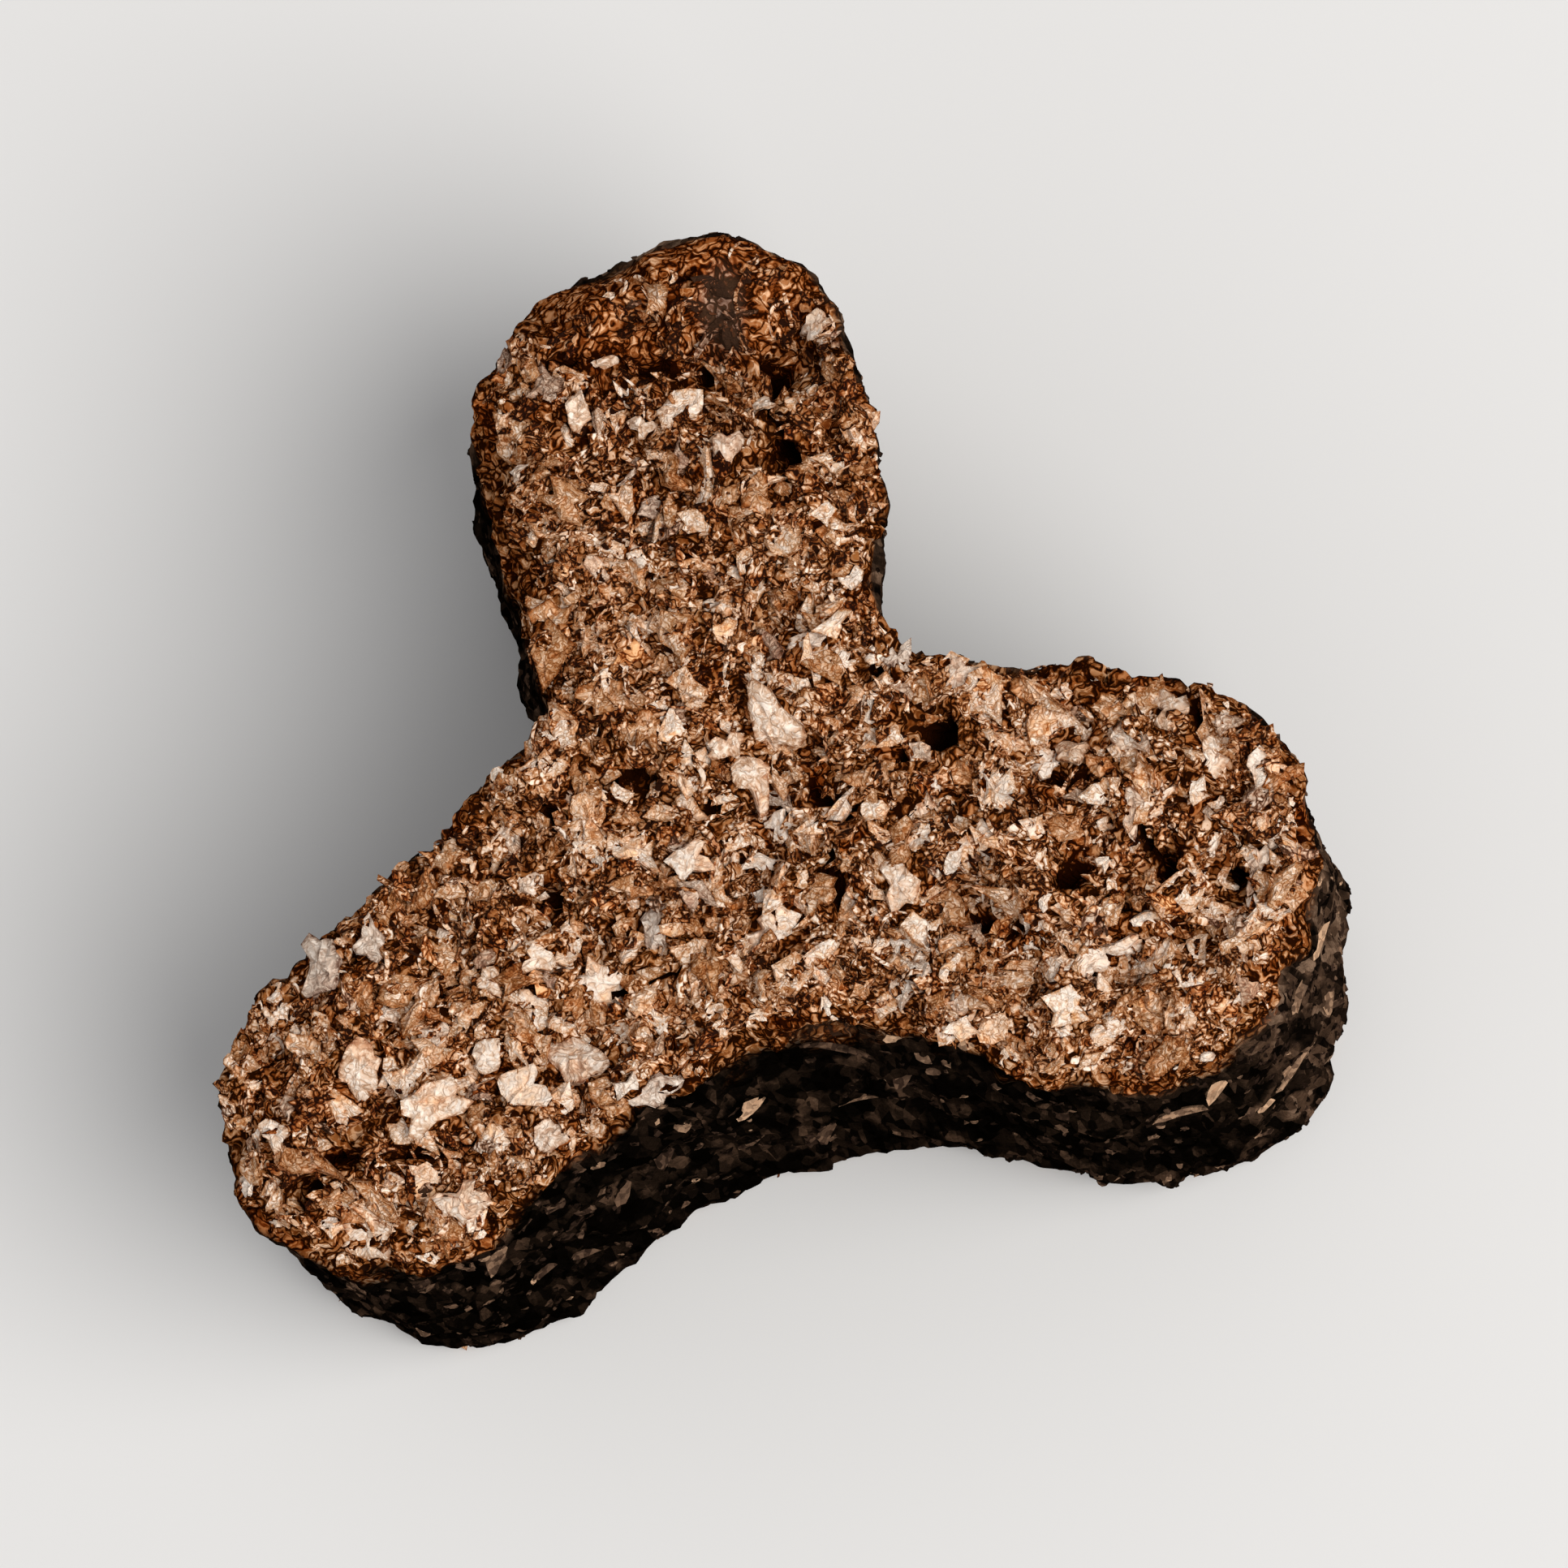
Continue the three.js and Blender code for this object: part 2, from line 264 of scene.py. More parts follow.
torn = np.zeros(len(points))  # how deep in a fold
wander = np.stack([waves(points, *FOLD_WANDER, seed) for seed in (31, 32)], 1)
for start, end in np.array(FOLDS):
    along = np.clip((points[:, :2] - start) @ (end - start) / ((end - start) ** 2).sum(), 0, 1)
    from_fold = np.linalg.norm(points[:, :2] + wander - start - along[:, None] * (end - start), axis=1)
    torn = np.maximum(torn, is_upper * bell(from_fold, FOLD_WIDTH))
    kept_open = np.maximum(kept_open, is_upper * bell(from_fold, FOLD_CLEAR))
pore = np.maximum(pore, FOLD_DEPTH * torn)

stretched = points / (1, 1, WALL_CHIP_STRETCH)
number, _, gap, traits = chips(stretched, WALL_CHIP_SIZE, BODY_SEED + 3)
wall_relief = (traits[number, 3] * 2 - 1 - np.exp(-gap / CRACK_WIDTH)) * WALL_CHIP_RISE
wall_relief += waves(points / (DRAG_WIDTH, DRAG_WIDTH, DRAG_LENGTH), DRAG_DEPTH, 1, seed=4)
wall_relief += waves(points, *WALL_LUMPS, seed=6)
# painted light and shade on the walls: paler round the first lobe's tip and away from -Y, darkest towards
# -Y, broken up by brown patches
brown_and_painted_light_wall = np.maximum(ramp(points[:, 0], *PAINTED_LIGHT_END), ramp(smooth[:, 1], *PAINTED_SHADE_FACING))
brown_and_painted_light_wall *= 1 + waves(points, *BROWN_PATCHES, seed=12)
brown_and_painted_light_wall = np.clip(brown_and_painted_light_wall, 0, PALEST_WALL)
wall_tone = traits[number, 4] + BROWN_AND_PAINTED_LIFT * brown_and_painted_light_wall

cut_relief = (chip_relief + meal_relief) * (1 - SMEAR_FLATTENS * smear) - pore
relief = cut * cut_relief + (1 - cut) * wall_relief + rim * waves(points, *RAGGED, seed=5)
points = points + directions * relief[:, None]
points[:, 2] = np.clip(points[:, 2], FLAKE_ROOM, None)
# painted shade: the crumb is painted darker where it lies below its neighbours, in the holes and along the
# folds
painted_shade = ramp(averaged(relief, edges, PAINTED_SHADE_BLUR) - relief, *PAINTED_SHADE_RANGE)
painted_shade += HOLE_PAINTED_SHADE * np.maximum(shade, torn)


def new_piece(name, points, faces, attributes, material):
    """A piece from points in mm, with its per-point attributes and its material."""
    mesh = bpy.data.meshes.new(name)
    mesh.from_pydata((points * MM).tolist(), [], faces.tolist())
    for key, values in attributes.items():
        mesh.attributes.new(key, "FLOAT", "POINT").data.foreach_set("value", values.astype(np.float32))
    mesh.polygons.foreach_set("use_smooth", [True] * len(mesh.polygons))
    mesh.set_sharp_from_angle(angle=CREASE)
    mesh.materials.append(material)
    mesh.update()
    piece = bpy.data.objects.new(name, mesh)
    bpy.context.collection.objects.link(piece)
    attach(piece, "root")
    return piece


def srgb(*levels):
    """A colour of three levels from 0 to 255, as the linear colour that a shader takes."""
    shares = [level / 255 for level in levels]
    return tuple(s / 12.92 if s <= 0.04045 else ((s + 0.055) / 1.055) ** 2.4 for s in shares) + (1.0,)


class Nodes:
    """Adds shader nodes to a tree, each with its inputs linked or set in one call."""

    def __init__(self, tree):
        self.tree = tree

    def link(self, output, socket):
        self.tree.links.new(output, socket)

    def fill(self, node, inputs):
        for key, value in inputs.items():
            if isinstance(value, bpy.types.NodeSocket):
                self.link(value, node.inputs[key])
            else:
                node.inputs[key].default_value = value
        return node

    def add(self, kind, inputs, **settings):
        node = self.tree.nodes.new("ShaderNode" + kind)
        for key, value in settings.items():
            setattr(node, key, value)
        return self.fill(node, inputs)

    def use(self, group, inputs):
        return self.fill(self.add("Group", {}, node_tree=group), inputs).outputs

    def math(self, operation, a, b):
        return self.add("Math", {0: a, 1: b}, operation=operation).outputs[0]

    def vector_math(self, operation, inputs):
        return self.add("VectorMath", inputs, operation=operation).outputs[0]

    def weighted(self, a, a_weight, b, b_weight):
        """The sum of two values, each times its weight."""
        return self.math("ADD", self.math("MULTIPLY", a, a_weight), self.math("MULTIPLY", b, b_weight))

    def mix(self, share, a, b, blend="MIX"):
        node = self.add("Mix", {0: share, 6: a, 7: b}, data_type="RGBA", blend_type=blend)
        return node.outputs[2]

    def colours(self, value, stops):
        """The colour for a value, from stops of a value and three levels from 0 to 255."""
        node = self.add("ValToRGB", {0: value})
        elements = node.color_ramp.elements
        while len(elements) < len(stops):
            elements.new(0.5)
        for element, (position, *levels) in zip(elements, stops):
            element.position = position
            element.color = srgb(*levels)
        return node.outputs[0]

    def spread(self, value, low, high, to_low=0.0, to_high=1.0):
        return self.add("MapRange", {0: value, 1: low, 2: high, 3: to_low, 4: to_high}).outputs[0]

    def attribute(self, name):
        return self.add("Attribute", {}, attribute_name=name).outputs["Fac"]

    def place(self):
        return self.add("TexCoord", {}).outputs["Object"]

    def bump(self, height, distance, shader, strength=1.0):
        node = self.add("Bump", {"Strength": strength, "Distance": distance, "Height": height})
        self.link(node.outputs[0], shader["Normal"])


def new_material(name, finish):
    """A material with its finish, which is the same all over, its nodes, and the sockets of its shader."""
    material = bpy.data.materials.new(name)
    material.use_nodes = True
    material.node_tree.nodes.clear()
    nodes = Nodes(material.node_tree)
    shader = nodes.add("BsdfPrincipled", finish)
    nodes.add("OutputMaterial", {"Surface": shader.outputs[0]})
    return material, nodes, shader.inputs


def new_group(name, inputs, outputs):
    """A shader group with its named sockets, as {name: kind}, and what its nodes link to."""
    tree = bpy.data.node_groups.new(name, "ShaderNodeTree")
    for in_out, sockets in (("INPUT", inputs), ("OUTPUT", outputs)):
        for key, kind in sockets.items():
            tree.interface.new_socket(key, in_out=in_out, socket_type=kind)
    nodes = Nodes(tree)
    return tree, nodes, tree.nodes.new("NodeGroupInput").outputs, tree.nodes.new("NodeGroupOutput").inputs


VALUE, VECTOR, COLOUR = "NodeSocketFloat", "NodeSocketVector", "NodeSocketColor"

# ground meal: the fine mottle within every chip and crumb, and the height of its grains
MOTTLE_RANGE = (0.2, 0.8)  # most of the mottle lies in it
meal_group, g, g_in, g_out = new_group(
    "ground_meal", {"Place": VECTOR, "Grains per metre": VALUE}, {"Mottle": VALUE, "Height": VALUE}
)
grain_scale = {"Vector": g_in["Place"], "Scale": g_in["Grains per metre"]}
clouds = g.add("TexNoise", grain_scale | {"Detail": 4.0, "Roughness": 0.65}).outputs["Fac"]
grains = g.add("TexVoronoi", grain_scale).outputs
grain_tone = g.add("SeparateColor", {0: grains["Color"]}).outputs[0]
g.link(g.math("MULTIPLY", g.math("ADD", clouds, grain_tone), 0.5), g_out["Mottle"])
g.link(g.math("SUBTRACT", clouds, grains["Distance"]), g_out["Height"])

# crumpled flakes: irregular flakes pressed into each other, with the folds across them and the gaps between
# painted light and shade: the crests and upper layers that the height raises are painted paler and the seams
# darker, partly the flakes' own tone and partly painted shading of the crumple
SWIRL_SCALE, CREASE_SCALE, SLOW_SCALE = 0.55, 1.9, 0.35  # against the flakes' own
SWIRL_PULL = 4.6  # how far the swirls pull the flakes out of shape, as a share of their size
SEAM_WIDTH = 0.2
LAYER_EDGE = (0.44, 0.56)  # where one layer of a flake ends on the next
CELL_SHARE, LAYER_SHARE, CREASE_SHARE = 0.45, 0.3, 0.25  # of the tone
CREASE_RANGE, TOAST_RANGE = (0.25, 0.75), (0.46, 0.72)
TONE_RANGE = (0.1, 0.9)  # most of the tones lie in it
crumpled_group, g, g_in, g_out = new_group(
    "crumpled_flakes",
    {"Place": VECTOR, "Flakes per metre": VALUE},
    {"Tone": VALUE, "Gap": VALUE, "Height": VALUE, "Toast": VALUE},
)
per_metre = g_in["Flakes per metre"]
swirls = {"Vector": g_in["Place"], "Scale": g.math("MULTIPLY", per_metre, SWIRL_SCALE), "Detail": 2.0}
pull = g.add("TexNoise", swirls).outputs["Color"]
pull = g.vector_math("SUBTRACT", {0: pull, 1: (0.5, 0.5, 0.5)})
pull = g.vector_math("SCALE", {0: pull, "Scale": g.math("DIVIDE", SWIRL_PULL, per_metre)})
pulled = g.vector_math("ADD", {0: g_in["Place"], 1: pull})
cell_scale = {"Vector": pulled, "Scale": per_metre}
cells = g.add("TexVoronoi", cell_scale).outputs["Color"]
cell_tone = g.add("SeparateColor", {0: cells}).outputs[0]
seams = g.add("TexVoronoi", cell_scale, feature="DISTANCE_TO_EDGE").outputs["Distance"]
gap = g.spread(seams, 0.0, SEAM_WIDTH, 1.0, 0.0)
creases = {"Vector": pulled, "Scale": g.math("MULTIPLY", per_metre, CREASE_SCALE), "Detail": 4.0}
crease = g.add("TexNoise", creases | {"Roughness": 0.62, "Distortion": 0.5}).outputs["Fac"]
layer_edge = {0: crease, 1: LAYER_EDGE[0], 2: LAYER_EDGE[1]}
layer = g.add("MapRange", layer_edge, interpolation_type="SMOOTHSTEP").outputs[0]
tone = g.weighted(cell_tone, CELL_SHARE, layer, LAYER_SHARE)
tone = g.math("ADD", tone, g.spread(crease, *CREASE_RANGE, 0.0, CREASE_SHARE))
slow = {"Vector": pulled, "Scale": g.math("MULTIPLY", per_metre, SLOW_SCALE), "Detail": 3.0}
toast = g.spread(g.add("TexNoise", slow).outputs["Fac"], *TOAST_RANGE)
height = g.math("SUBTRACT", g.math("ADD", g.math("MULTIPLY", layer, 0.5), crease), gap)
for key, value in {"Tone": tone, "Gap": gap, "Height": height, "Toast": toast}.items():
    g.link(value, g_out[key])

# toasted tones: the dough's colours from its darkest, in the burnt gaps and the painted shade, to its palest
# husks
TOASTED = [
    (0.0, 34, 12, 2), (0.2, 99, 48, 15), (0.4, 152, 94, 49),
    (0.6, 191, 143, 103), (0.8, 229, 196, 168), (1.0, 253, 236, 220),
]
EDGE_PAINTED_SHADE = 0.62
DUST_PALES = (0.2, 1.0)  # tones over which the dust goes from dark to pale
RUST_TINT = srgb(255, 214, 168)
DARK_DUST, PALE_DUST = srgb(80, 58, 42), srgb(230, 218, 206)
toasted_group, g, g_in, g_out = new_group(
    "toasted_tones", {"Tone": VALUE, "Edge shade": VALUE, "Rust": VALUE, "Dust": VALUE}, {"Colour": COLOUR}
)
# painted shade: the edge input darkens the tone along the flakes' edges and the seams between them
toasted_tone = g.math("SUBTRACT", g_in["Tone"], g.math("MULTIPLY", g_in["Edge shade"], EDGE_PAINTED_SHADE))
toasted = g.colours(toasted_tone, TOASTED)
toasted = g.mix(g_in["Rust"], toasted, g.mix(1.0, toasted, RUST_TINT, "MULTIPLY"))
dusty = g.mix(g.spread(toasted_tone, *DUST_PALES), DARK_DUST, PALE_DUST)
g.link(g.mix(g_in["Dust"], toasted, dusty), g_out["Colour"])

# the dough itself: crumb on the cuts, with painted shade in its low places and seams, and a black-brown skin
# with drawn streaks on the walls
DOUGH_FLAKES = 4200.0  # per metre
DOUGH_BUMP = 0.000014
CRUMB_TONES = (0.05, 0.64)
# how much the chips change the crumb's tone, and how much the painted shade of its low places darkens it
CHIP_TONE, PAINTED_SHADE_TONE = 0.2, 0.42
SKIN = [(0.3, 3, 2, 1), (0.5, 9, 6, 4), (0.68, 34, 24, 17), (0.84, 78, 58, 44), (1.0, 130, 104, 84)]
STREAK_SHRINK = (1.0, 1.0, 0.16)  # draws the skin's grains out along the strand
STREAK_GRAINS = 7000.0  # per metre, across the strand
SKIN_CHIP_SHARE, SKIN_STREAK_SHARE = 0.35, 0.65
SKIN_ROUGHNESS, CRUMB_ROUGHNESS = 0.6, 0.85
dough, d, dough_shader = new_material("baked_dough", {"Specular IOR Level": 0.0})
place = d.place()
crumpled = d.use(crumpled_group, {"Place": place, "Flakes per metre": DOUGH_FLAKES})
crumb_tone = d.math("MULTIPLY", d.attribute("tone"), CHIP_TONE)
crumb_tone = d.math("ADD", crumb_tone, d.spread(crumpled["Tone"], *TONE_RANGE, *CRUMB_TONES))
# painted shade in the crumb's low places, holes and folds
crumb_tone = d.math("SUBTRACT", crumb_tone, d.math("MULTIPLY", d.attribute("painted_shade"), PAINTED_SHADE_TONE))
crumb_rust = d.math("MAXIMUM", crumpled["Toast"], d.attribute("toast"))
# the seams of the crumple darken the crumb: partly its own dark gaps, partly painted shade
crumb_look = {"Tone": crumb_tone, "Edge shade": crumpled["Gap"], "Rust": crumb_rust, "Dust": d.attribute("grey")}
crumb = d.use(toasted_group, crumb_look)["Colour"]
drawn = d.add("Mapping", {"Vector": place, "Scale": STREAK_SHRINK}).outputs[0]
streaks = d.use(meal_group, {"Place": drawn, "Grains per metre": STREAK_GRAINS})
skin_tone = d.weighted(d.attribute("skin_tone"), SKIN_CHIP_SHARE, streaks["Mottle"], SKIN_STREAK_SHARE)
skin = d.colours(skin_tone, SKIN)
d.link(d.mix(d.attribute("cut"), skin, crumb), dough_shader["Base Color"])
roughness = d.spread(d.attribute("cut"), 0.0, 1.0, SKIN_ROUGHNESS, CRUMB_ROUGHNESS)
d.link(roughness, dough_shader["Roughness"])
d.bump(crumpled["Height"], DOUGH_BUMP, dough_shader)

body_traits = {
    "cut": cut,
    "tone": CHIP_SHARE * chip_tone + MEAL_SHARE * meal_tone + SMEAR_PALER * smear - SMUDGE_DARKER * smudge,
    "grey": SMUDGE_GREY * smudge,
    "toast": SMEAR_TOAST * smear,
    "skin_tone": wall_tone,
    # the painted shade of the low places, holes and folds
    "painted_shade": painted_shade,
}
body = new_piece("treat_body", points, faces, body_traits, dough)
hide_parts("treat")

# The large husks: single flakes of grain husk, 0.3 to 1 mm, that stand out palest and broadest on the
# upper cut. They were pressed flat into the dough and torn through with it. Each is placed where this
# slice has it.
# a husk's profile, from its middle over its edge and back below: reach and rise, as shares of its size
HUSK_PROFILE = [(0, 0.03), (0.4, 0.03), (0.75, 0.02), (1, 0), (0.92, -0.14), (0, -0.12)]
# x, y, length, width, heading in degrees, tone and how greyed each is
LARGE_HUSKS = [
    (-5.94, -2.6, 0.9, 0.7, 100, 0.78, 0.6), (-5.26, -2.34, 0.6, 0.4, 90, 0.78, 0.6),
    (-5.41, -4.08, 0.85, 0.6, 60, 0.82, 0.1), (-4.31, -4.61, 0.95, 0.65, 20, 0.92, 0.1),
    (-3.07, -4.38, 0.7, 0.62, 0, 1.05, 0.1), (-2.31, -4.0, 0.8, 0.72, 150, 0.86, 0.2),
    (-3.6, -3.93, 0.5, 0.45, 80, 0.92, 0.1), (-2.09, -2.87, 0.78, 0.58, 150, 0.94, 0.1),
    (-1.33, -2.19, 0.62, 0.5, 120, 0.96, 0.1), (-2.99, -3.13, 0.36, 0.33, 0, 1.0, 0.1),
    (-3.53, -2.87, 0.47, 0.33, 0, 0.88, 0.1), (-3.94, -5.97, 0.68, 0.58, 60, 0.86, 0.2),
    (-5.33, -6.42, 0.95, 0.55, 160, 0.84, 0.1), (-6.6, -6.12, 0.6, 0.45, 30, 0.9, 0.1),
    (-6.58, -4.98, 0.45, 0.4, 0, 0.88, 0.1), (-2.7, -5.06, 0.5, 0.45, 45, 0.84, 0.3),
    (-1.26, -4.38, 0.65, 0.6, 0, 0.76, 0.6), (-2.85, -2.6, 0.5, 0.4, 20, 0.92, 0.1),
    (0.14, -0.07, 0.74, 0.52, 110, 0.84, 0.1), (0.41, 0.79, 1.0, 0.6, 120, 0.84, 0.1),
    (-0.73, -1.21, 0.62, 0.5, 30, 0.95, 0.2), (0.52, -0.68, 0.5, 0.35, 10, 1.0, 0.1),
    (0.18, -1.21, 0.5, 0.25, 0, 1.0, 0.1), (0.41, -2.19, 0.75, 0.52, 150, 0.88, 0.2),
    (2.18, -1.51, 0.82, 0.52, 100, 0.86, 0.1), (2.49, -0.46, 0.46, 0.42, 0, 0.82, 0.1),
    (2.18, 1.58, 0.6, 0.38, 80, 0.78, 0.6), (0.94, 1.81, 0.66, 0.38, 10, 0.84, 0.4),
    (3.09, 1.32, 0.52, 0.46, 0, 0.78, 0.4), (-1.26, -2.11, 0.66, 0.42, 120, 0.78, 0.6),
    (4.26, 0.11, 0.56, 0.46, 45, 0.94, 0.1), (-0.23, 0.38, 0.5, 0.38, 0, 0.8, 0.1),
    (4.98, 1.17, 0.62, 0.58, 20, 0.78, 0.5), (6.64, 0.15, 0.62, 0.4, 60, 0.92, 0.1),
    (5.5, -0.53, 0.66, 0.32, 85, 0.86, 0.3), (6.03, 0.83, 0.62, 0.55, 90, 0.78, 0.1),
    (5.36, -2.42, 0.62, 0.32, 10, 0.98, 0.1), (4.91, -2.65, 0.52, 0.46, 60, 0.98, 0.1),
    (7.24, -1.36, 0.66, 0.36, 80, 0.74, 0.4), (3.41, -0.83, 0.36, 0.29, 0, 0.92, 0.1),
    (4.63, 0.23, 0.5, 0.45, 0, 0.74, 0.1), (-1.94, 6.0, 0.78, 0.42, 50, 0.74, 0.1),
    (-2.31, 5.1, 0.52, 0.4, 100, 0.88, 0.1), (1.0, 6.31, 0.62, 0.34, 10, 0.88, 0.1),
    (-1.41, 4.91, 0.36, 0.31, 0, 0.84, 0.1), (-1.03, 5.03, 0.32, 0.3, 0, 0.92, 0.1),
    (0.26, 5.18, 0.36, 0.31, 0, 0.92, 0.1), (-0.2, 4.57, 0.52, 0.42, 90, 0.8, 0.3),
]
LARGE_SEED = 17
LARGE_ABOVE = 0.065  # a large husk lies this far above the crumb
LARGE_TILT = 0.06
LARGE_LIFT, LARGE_RUST = 0.1, 0.04
LEAST_DUST, DUST_SHARE = 0.15, 0.8
FACING_BLUR = 6
UPPER_ROOM, LOWER_ROOM = (0.45, 0.75), (0.75, 0.95)  # upright part of the skin's blurred direction
SOME_ROOM = 0.02
COVERED_REACH = 0.57  # of a husk's length and width, to each side of its middle
CORNER_SHIFT = 0.3  # how unevenly the corners of an outline lie round it, as a share of their distance
TORN_WAVES = (2, 3, 4)  # how many waves run round a torn outline
TORN_JAGS, TORN_SWING = 0.3, 0.6
CEILING = cad_box[1][2] / MM + 0.1  # no flake stands higher


def all_copies(cloud, faces, edge):
    """The points, faces and edges of all lumps in one, from every lump's points and the faces and edges of
    the first, and the number of points of a lump. None reaches below the support."""
    count, per_copy = cloud.shape[:2]
    cloud[..., 2] -= np.minimum(cloud[..., 2].min(1, keepdims=True), 0)
    starts = np.arange(count)[:, None, None] * per_copy
    all_faces = (np.array(faces) + starts).reshape(-1, len(faces[0]))
    return cloud.reshape(-1, 3), all_faces, np.tile(edge, count), per_copy


def lumps(
    spots, up, size, profile, draw, corners, stretch, torn, crumple=0.05, dome=0.0, bend=0.0, grain=None
):
    """Closed lumps or flakes at the spots: rings of corners after the profile, with a torn outline, each
    ring raised by the dome and rolled by the bend. Returns points, triangles, how near the edge each point
    is and the number of points of a lump."""
    count = len(spots)
    grain = draw.normal(size=(count, 3)) if grain is None else grain
    side = unit(np.cross(up, grain))
    along = np.cross(side, up)
    shift = draw.uniform(-CORNER_SHIFT, CORNER_SHIFT, (count, corners))
    turn = (np.arange(corners) + shift) * 2 * np.pi / corners
    lobes = draw.uniform(-TORN_JAGS, TORN_JAGS, (count, corners))
    for times in TORN_WAVES:
        swing = draw.uniform(0, TORN_SWING, (count, 1))
        lobes += swing * np.cos(times * turn + draw.uniform(0, 2 * np.pi, (count, 1)))
    values = (size, stretch, torn, dome, bend)
    size, stretch, torn, dome, bend = (np.broadcast_to(v, count)[:, None] for v in values)
    reach = size / 2 * (1 + torn * lobes)
    stretch = np.sqrt(stretch)
    x, y = np.cos(turn) * reach * stretch, np.sin(turn) * reach / stretch
    rings, edge = [], []
    for share, rise in profile:
        ring = slice(0, 1) if share == 0 else slice(None)
        rx, ry = x[:, ring] * share, y[:, ring] * share
        height = rise * size + dome * size * (1 - share**2) + bend / size * (rx**2 - ry**2 / 2)
        height = height + draw.normal(size=rx.shape) * crumple * size * (0 < share < 1)
        spot = spots[:, None] + rx[..., None] * along[:, None] + ry[..., None] * side[:, None]
        rings.append(spot + height[..., None] * up[:, None])
        edge += [share] * rx.shape[1]
    cloud = np.concatenate(rings, 1)
    cloud[..., 2] -= np.maximum(cloud[..., 2].max(1, keepdims=True) - CEILING, 0)
    sides = [(i, (i + 1) % corners) for i in range(corners)]
    start = 1
    triangles = [(0, start + i, start + j) for i, j in sides]
    for _ in range(len(profile) - 3):
        below = start + corners
        triangles += [(start + i, below + i, below + j) for i, j in sides]
        triangles += [(start + i, below + j, start + j) for i, j in sides]
        start = below
    triangles += [(start + corners, start + j, start + i) for i, j in sides]
    return all_copies(cloud, triangles, edge)


def heading_vectors(degrees):
    angle = np.radians(degrees)
    return np.stack([np.cos(angle), np.sin(angle), 0 * angle], 1)


def new_flakes(name, shape, tone, rust, dust, material):
    """A piece from what lumps or shreds return, with what the flakes' material reads at every point."""
    flake_points, flake_faces, edge, per_flake = shape
    count = len(flake_points) // per_flake
    tone, rust, dust = (np.repeat(np.broadcast_to(v, count), per_flake) for v in (tone, rust, dust))
    traits = {"tone": tone, "edge": edge, "rust": rust, "dust": dust}
    new_piece(name, flake_points, flake_faces, traits, material)


FLAKE_GRAINS = 11000.0  # per metre
# painted shade: each flake is painted darker along its edge, where it meets the dough, and in the seams of
# its crumple
FLAKE_EDGE_POWER = 6.0  # how narrow the dark edge of a flake is
EDGE_BREAKS = (0.2, 0.8, 1.0, 0.4)  # tones over which the edge fades, and its shares at both
FLAKE_BUMP = 0.00001
FLAKE_FINISH = {"Roughness": 0.8, "Specular IOR Level": 0.06}


def flake_material(name, per_metre, crumple, gap_shade, mottle):
    """A finish for flakes: how many creased patches they have per metre, how much those differ in tone, how
    dark the painted shade in the gaps between them is and how strong the fine mottle is."""
    material, n, shader = new_material(name, FLAKE_FINISH)
    place = n.place()
    crumpled = n.use(crumpled_group, {"Place": place, "Flakes per metre": per_metre})
    meal = n.use(meal_group, {"Place": place, "Grains per metre": FLAKE_GRAINS})
    tone = n.math("ADD", n.attribute("tone"), n.spread(crumpled["Tone"], *TONE_RANGE, -crumple, crumple))
    tone = n.math("ADD", tone, n.spread(meal["Mottle"], *MOTTLE_RANGE, -mottle, mottle))
    # painted shade along the flake's edge and in its seams, partly the dough's dark gaps
    edge = n.math("POWER", n.attribute("edge"), FLAKE_EDGE_POWER)
    edge = n.math("MULTIPLY", edge, n.spread(crumpled["Tone"], *EDGE_BREAKS))
    edge = n.math("MAXIMUM", edge, n.math("MULTIPLY", crumpled["Gap"], gap_shade))
    rust = n.math("MAXIMUM", n.attribute("rust"), crumpled["Toast"])
    look = {"Tone": tone, "Edge shade": edge, "Rust": rust, "Dust": n.attribute("dust")}
    n.link(n.use(toasted_group, look)["Colour"], shader["Base Color"])
    n.bump(crumpled["Height"], FLAKE_BUMP, shader)
    return material


broad_husk = flake_material("broad_husk", per_metre=5600.0, crumple=0.13, gap_shade=0.42, mottle=0.12)
facing = unit(averaged(directions, edges, FACING_BLUR))
# 0 at the rims and 1 well inside the cuts, further in on the lower one
room = np.where(is_upper, ramp(smooth[:, 2], *UPPER_ROOM), ramp(-smooth[:, 2], *LOWER_ROOM))

draw = np.random.default_rng(LARGE_SEED)
x, y, length, width, heading, tone, dust = np.array(LARGE_HUSKS).T
upper_points = np.flatnonzero(is_upper & (room > SOME_ROOM))
nearest = [upper_points[np.argmin(np.hypot(*(points[upper_points, :2] - xy).T))] for xy in zip(x, y)]
up = facing[nearest]
spots = np.stack([x, y, points[nearest, 2]], 1) + LARGE_ABOVE * up
grain = heading_vectors(heading)
shape = lumps(
    spots, unit(up + LARGE_TILT * draw.normal(size=up.shape)), np.sqrt(length * width), HUSK_PROFILE, draw,
    corners=15, stretch=length / width, torn=0.55, crumple=0.04,
    dome=draw.uniform(-0.05, 0.08, len(spots)), bend=draw.uniform(-0.35, 0.35, len(spots)), grain=grain,
)
dust = DUST_SHARE * dust + LEAST_DUST
new_flakes("treat_large_husks", shape, tone + LARGE_LIFT, LARGE_RUST, dust, broad_husk)

# where the large husks cover the upper cut, so that little lies on them
covered = np.zeros(len(points))
for middle, ahead, long, wide in zip(np.stack([x, y], 1), grain, length, width):
    offset = points[:, :2] - middle
    lengthwise = offset @ ahead[:2] / long
    sideways = (offset[:, 1] * ahead[0] - offset[:, 0] * ahead[1]) / wide
    covered = np.maximum(covered, is_upper * (np.hypot(lengthwise, sideways) < COVERED_REACH))

